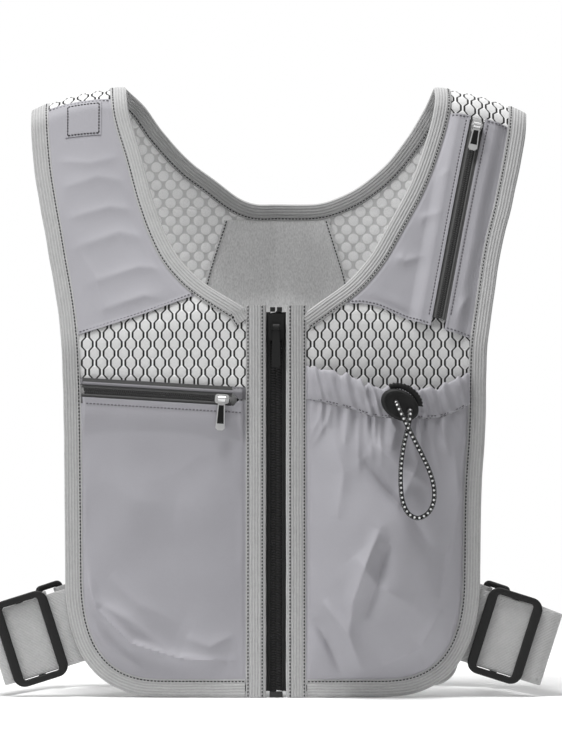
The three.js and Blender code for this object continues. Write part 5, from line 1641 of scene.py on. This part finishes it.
def cord_lock():
    """An oval button with a dished face, and a ridged crescent thumb pad along its upper side."""
    hem_face = on_cloth(1, LOCK_AT, hem_lift(LOCK_AT[0]) + HEM_THICKNESS / 2)[1]
    origin = np.array([LOCK_AT[0], hem_face - LOCK_OFF_HEM - LOCK_DEPTH / 2, LOCK_AT[1]])
    c, s = np.cos(LOCK_TILT), np.sin(LOCK_TILT)
    axes = ((c, 0, -s), (s, 0, c), (0, -1, 0))
    profile = [(0.001, -6.0), (0.6, -6.1), (0.64, -5.8), (0.64, 0.9), (0.95, 1.1), (1, 1.6), (1, 4.2),
               (0.975, 5.4), (0.92, 6.3), (0.86, 6.9), (0.8, 7.0), (0.75, 6.75), (0.68, 6.45), (0.4, 6.5),
               (0.001, 6.55)]
    disc = turned_disc(13.4, 9.6, profile)
    button = put("cord_lock_button", local_body(disc, origin, axes), PLASTIC,
                 ["cord_lock_body"], rides="cord_lock", sharp=50)
    bored(button, [(LOOP[0][0], LOOP[0][2]), (LOOP[-1][0], LOOP[-1][2])], CORD_RADIUS + 0.4)
    angle = np.radians(np.linspace(22, 158, 150))
    ridges = 1 + 0.028 * np.sin(angle * 34)
    path = np.stack([12.6 * np.cos(angle) * ridges, 2.7 + 9.3 * np.sin(angle) * ridges, 0 * angle - 1.9], 1)
    out = unit(np.stack([np.cos(angle), np.sin(angle) * 1.2, 0 * angle], 1))
    section = np.stack(squared_off(turn_angles(18), 0.4, 0.6), 1) * (2.7, 2.1)
    pad = sweep(path, np.broadcast_to((0, 0, 1.0), path.shape), out, section)
    put("cord_lock_thumb_pad", local_body(pad, origin, axes), PLASTIC,
        ["cord_lock_plunger"], rides="cord_lock_plunger", sharp=50)


def fittings():
    zip_of, length = pocket_zip_frame()
    _, across, along, out = zip_of
    pull_insert("pocket_zip_pull", zip_of, length, (along, across, out), 4.2, 16.5)
    zip_of, length = shoulder_zip_frame()
    _, across, along, out = zip_of
    pull_insert("shoulder_zip_pull", zip_of, length, (across, -along, out), 3.8, 13.8)
    cord_lock()


# ---- kept CAD nodes ----------------------------------------------------------------------------------
def dress(names, material):
    """Gives CAD nodes their material."""
    for name in names:
        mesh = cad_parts[name].data
        mesh.materials.clear()
        mesh.materials.append(material)


# ---- the vest ----------------------------------------------------------------------------------------
for one in SIDES:
    front_mesh(one)
    back_mesh(one)
bindings()
right_yoke()
left_yoke()
right_pocket()
bellows_pocket()
pocket_hem()
back_centre()
zips()
drawcord()
fittings()
strap(RIGHT, 28)
strap(LEFT, 21)
put("seam_stitches", merge(STITCHES), THREAD, sharp=70)
put("panel_stitches", merge(GREY_STITCHES), THREAD_GREY, sharp=70)
dress(["main_zip_slider", "main_zip_pull"], PLASTIC)
dress(["main_zip_right_stop", "main_zip_left_stop", "main_zip_box", "main_zip_pin"], GUNMETAL)
dress(["pocket_zip_slider", "pocket_zip_pull", "shoulder_zip_slider", "shoulder_zip_pull",
       "cord_lock_spring"], SILVER)
dress(["hem_cord_inner", "hem_cord_outer"], PLASTIC)


# ---- floor and light ---------------------------------------------------------------------------------
def floor():
    """A pale floor that fades out, with its distance from the vest, into the white round it."""
    mesh = bpy.data.meshes.new("floor")
    mesh.from_pydata([(-3, -3, 0), (3, -3, 0), (3, 3, 0), (-3, 3, 0)], [], [(0, 1, 2, 3)])
    s = Shader("pale floor")
    x, y, _ = s.object_mm()
    speck = s.noise(3.0, 2.0)
    s.finish(s.mix(speck, grey(240), grey(243)), 0.9)
    clear = s.node("ShaderNodeBsdfTransparent")
    mixed = s.node("ShaderNodeMixShader", {}, {
        0: x.hypot(y).step(420, 900), 1: s.surface.outputs[0], 2: clear})
    s.tree.links.new(mixed, s.tree.nodes["Material Output"].inputs["Surface"])
    mesh.materials.append(s.material)
    obj = bpy.data.objects.new("floor", mesh)
    obj.location = (0, 0, -0.0003)
    bpy.context.scene.collection.objects.link(obj)


def lamp(name, location, target, size, power):
    """A round lamp that faces its target."""
    light = bpy.data.lights.new(name, "AREA")
    light.shape = "DISK"
    light.size = size
    light.energy = power
    obj = bpy.data.objects.new(name, light)
    bpy.context.scene.collection.objects.link(obj)
    away = np.array(location, float) - np.array(target, float)
    azimuth = np.arctan2(away[1], away[0])
    climb = np.arctan2(away[2], np.hypot(away[0], away[1]))
    obj.location = location
    obj.rotation_euler = (np.pi / 2 - climb, 0, azimuth + np.pi / 2)


def surroundings(seen, ambient):
    """A white world that looks brighter than the light it gives."""
    world = bpy.data.worlds.new("studio")
    bpy.context.scene.world = world
    world.use_nodes = True
    tree = world.node_tree
    path = tree.nodes.new("ShaderNodeLightPath")
    strength = Value(tree, path.outputs["Is Camera Ray"]) * (seen - ambient) + ambient
    tree.links.new(strength.socket, tree.nodes["Background"].inputs["Strength"])
    tree.nodes["Background"].inputs["Color"].default_value = (1, 1, 1, 1)


bpy.context.scene.view_settings.view_transform = "Standard"
floor()
lamp("overhead", (-0.35, -0.45, 2.1), (0, 0, 0.1), 0.9, 46)
lamp("key", (-2.1, -1.1, 1.2), (0, 0, 0.2), 0.6, 19)
lamp("back", (0.5, 1.6, 1.5), (0, 0, 0.3), 1.2, 20)
surroundings(1.0, 0.27)
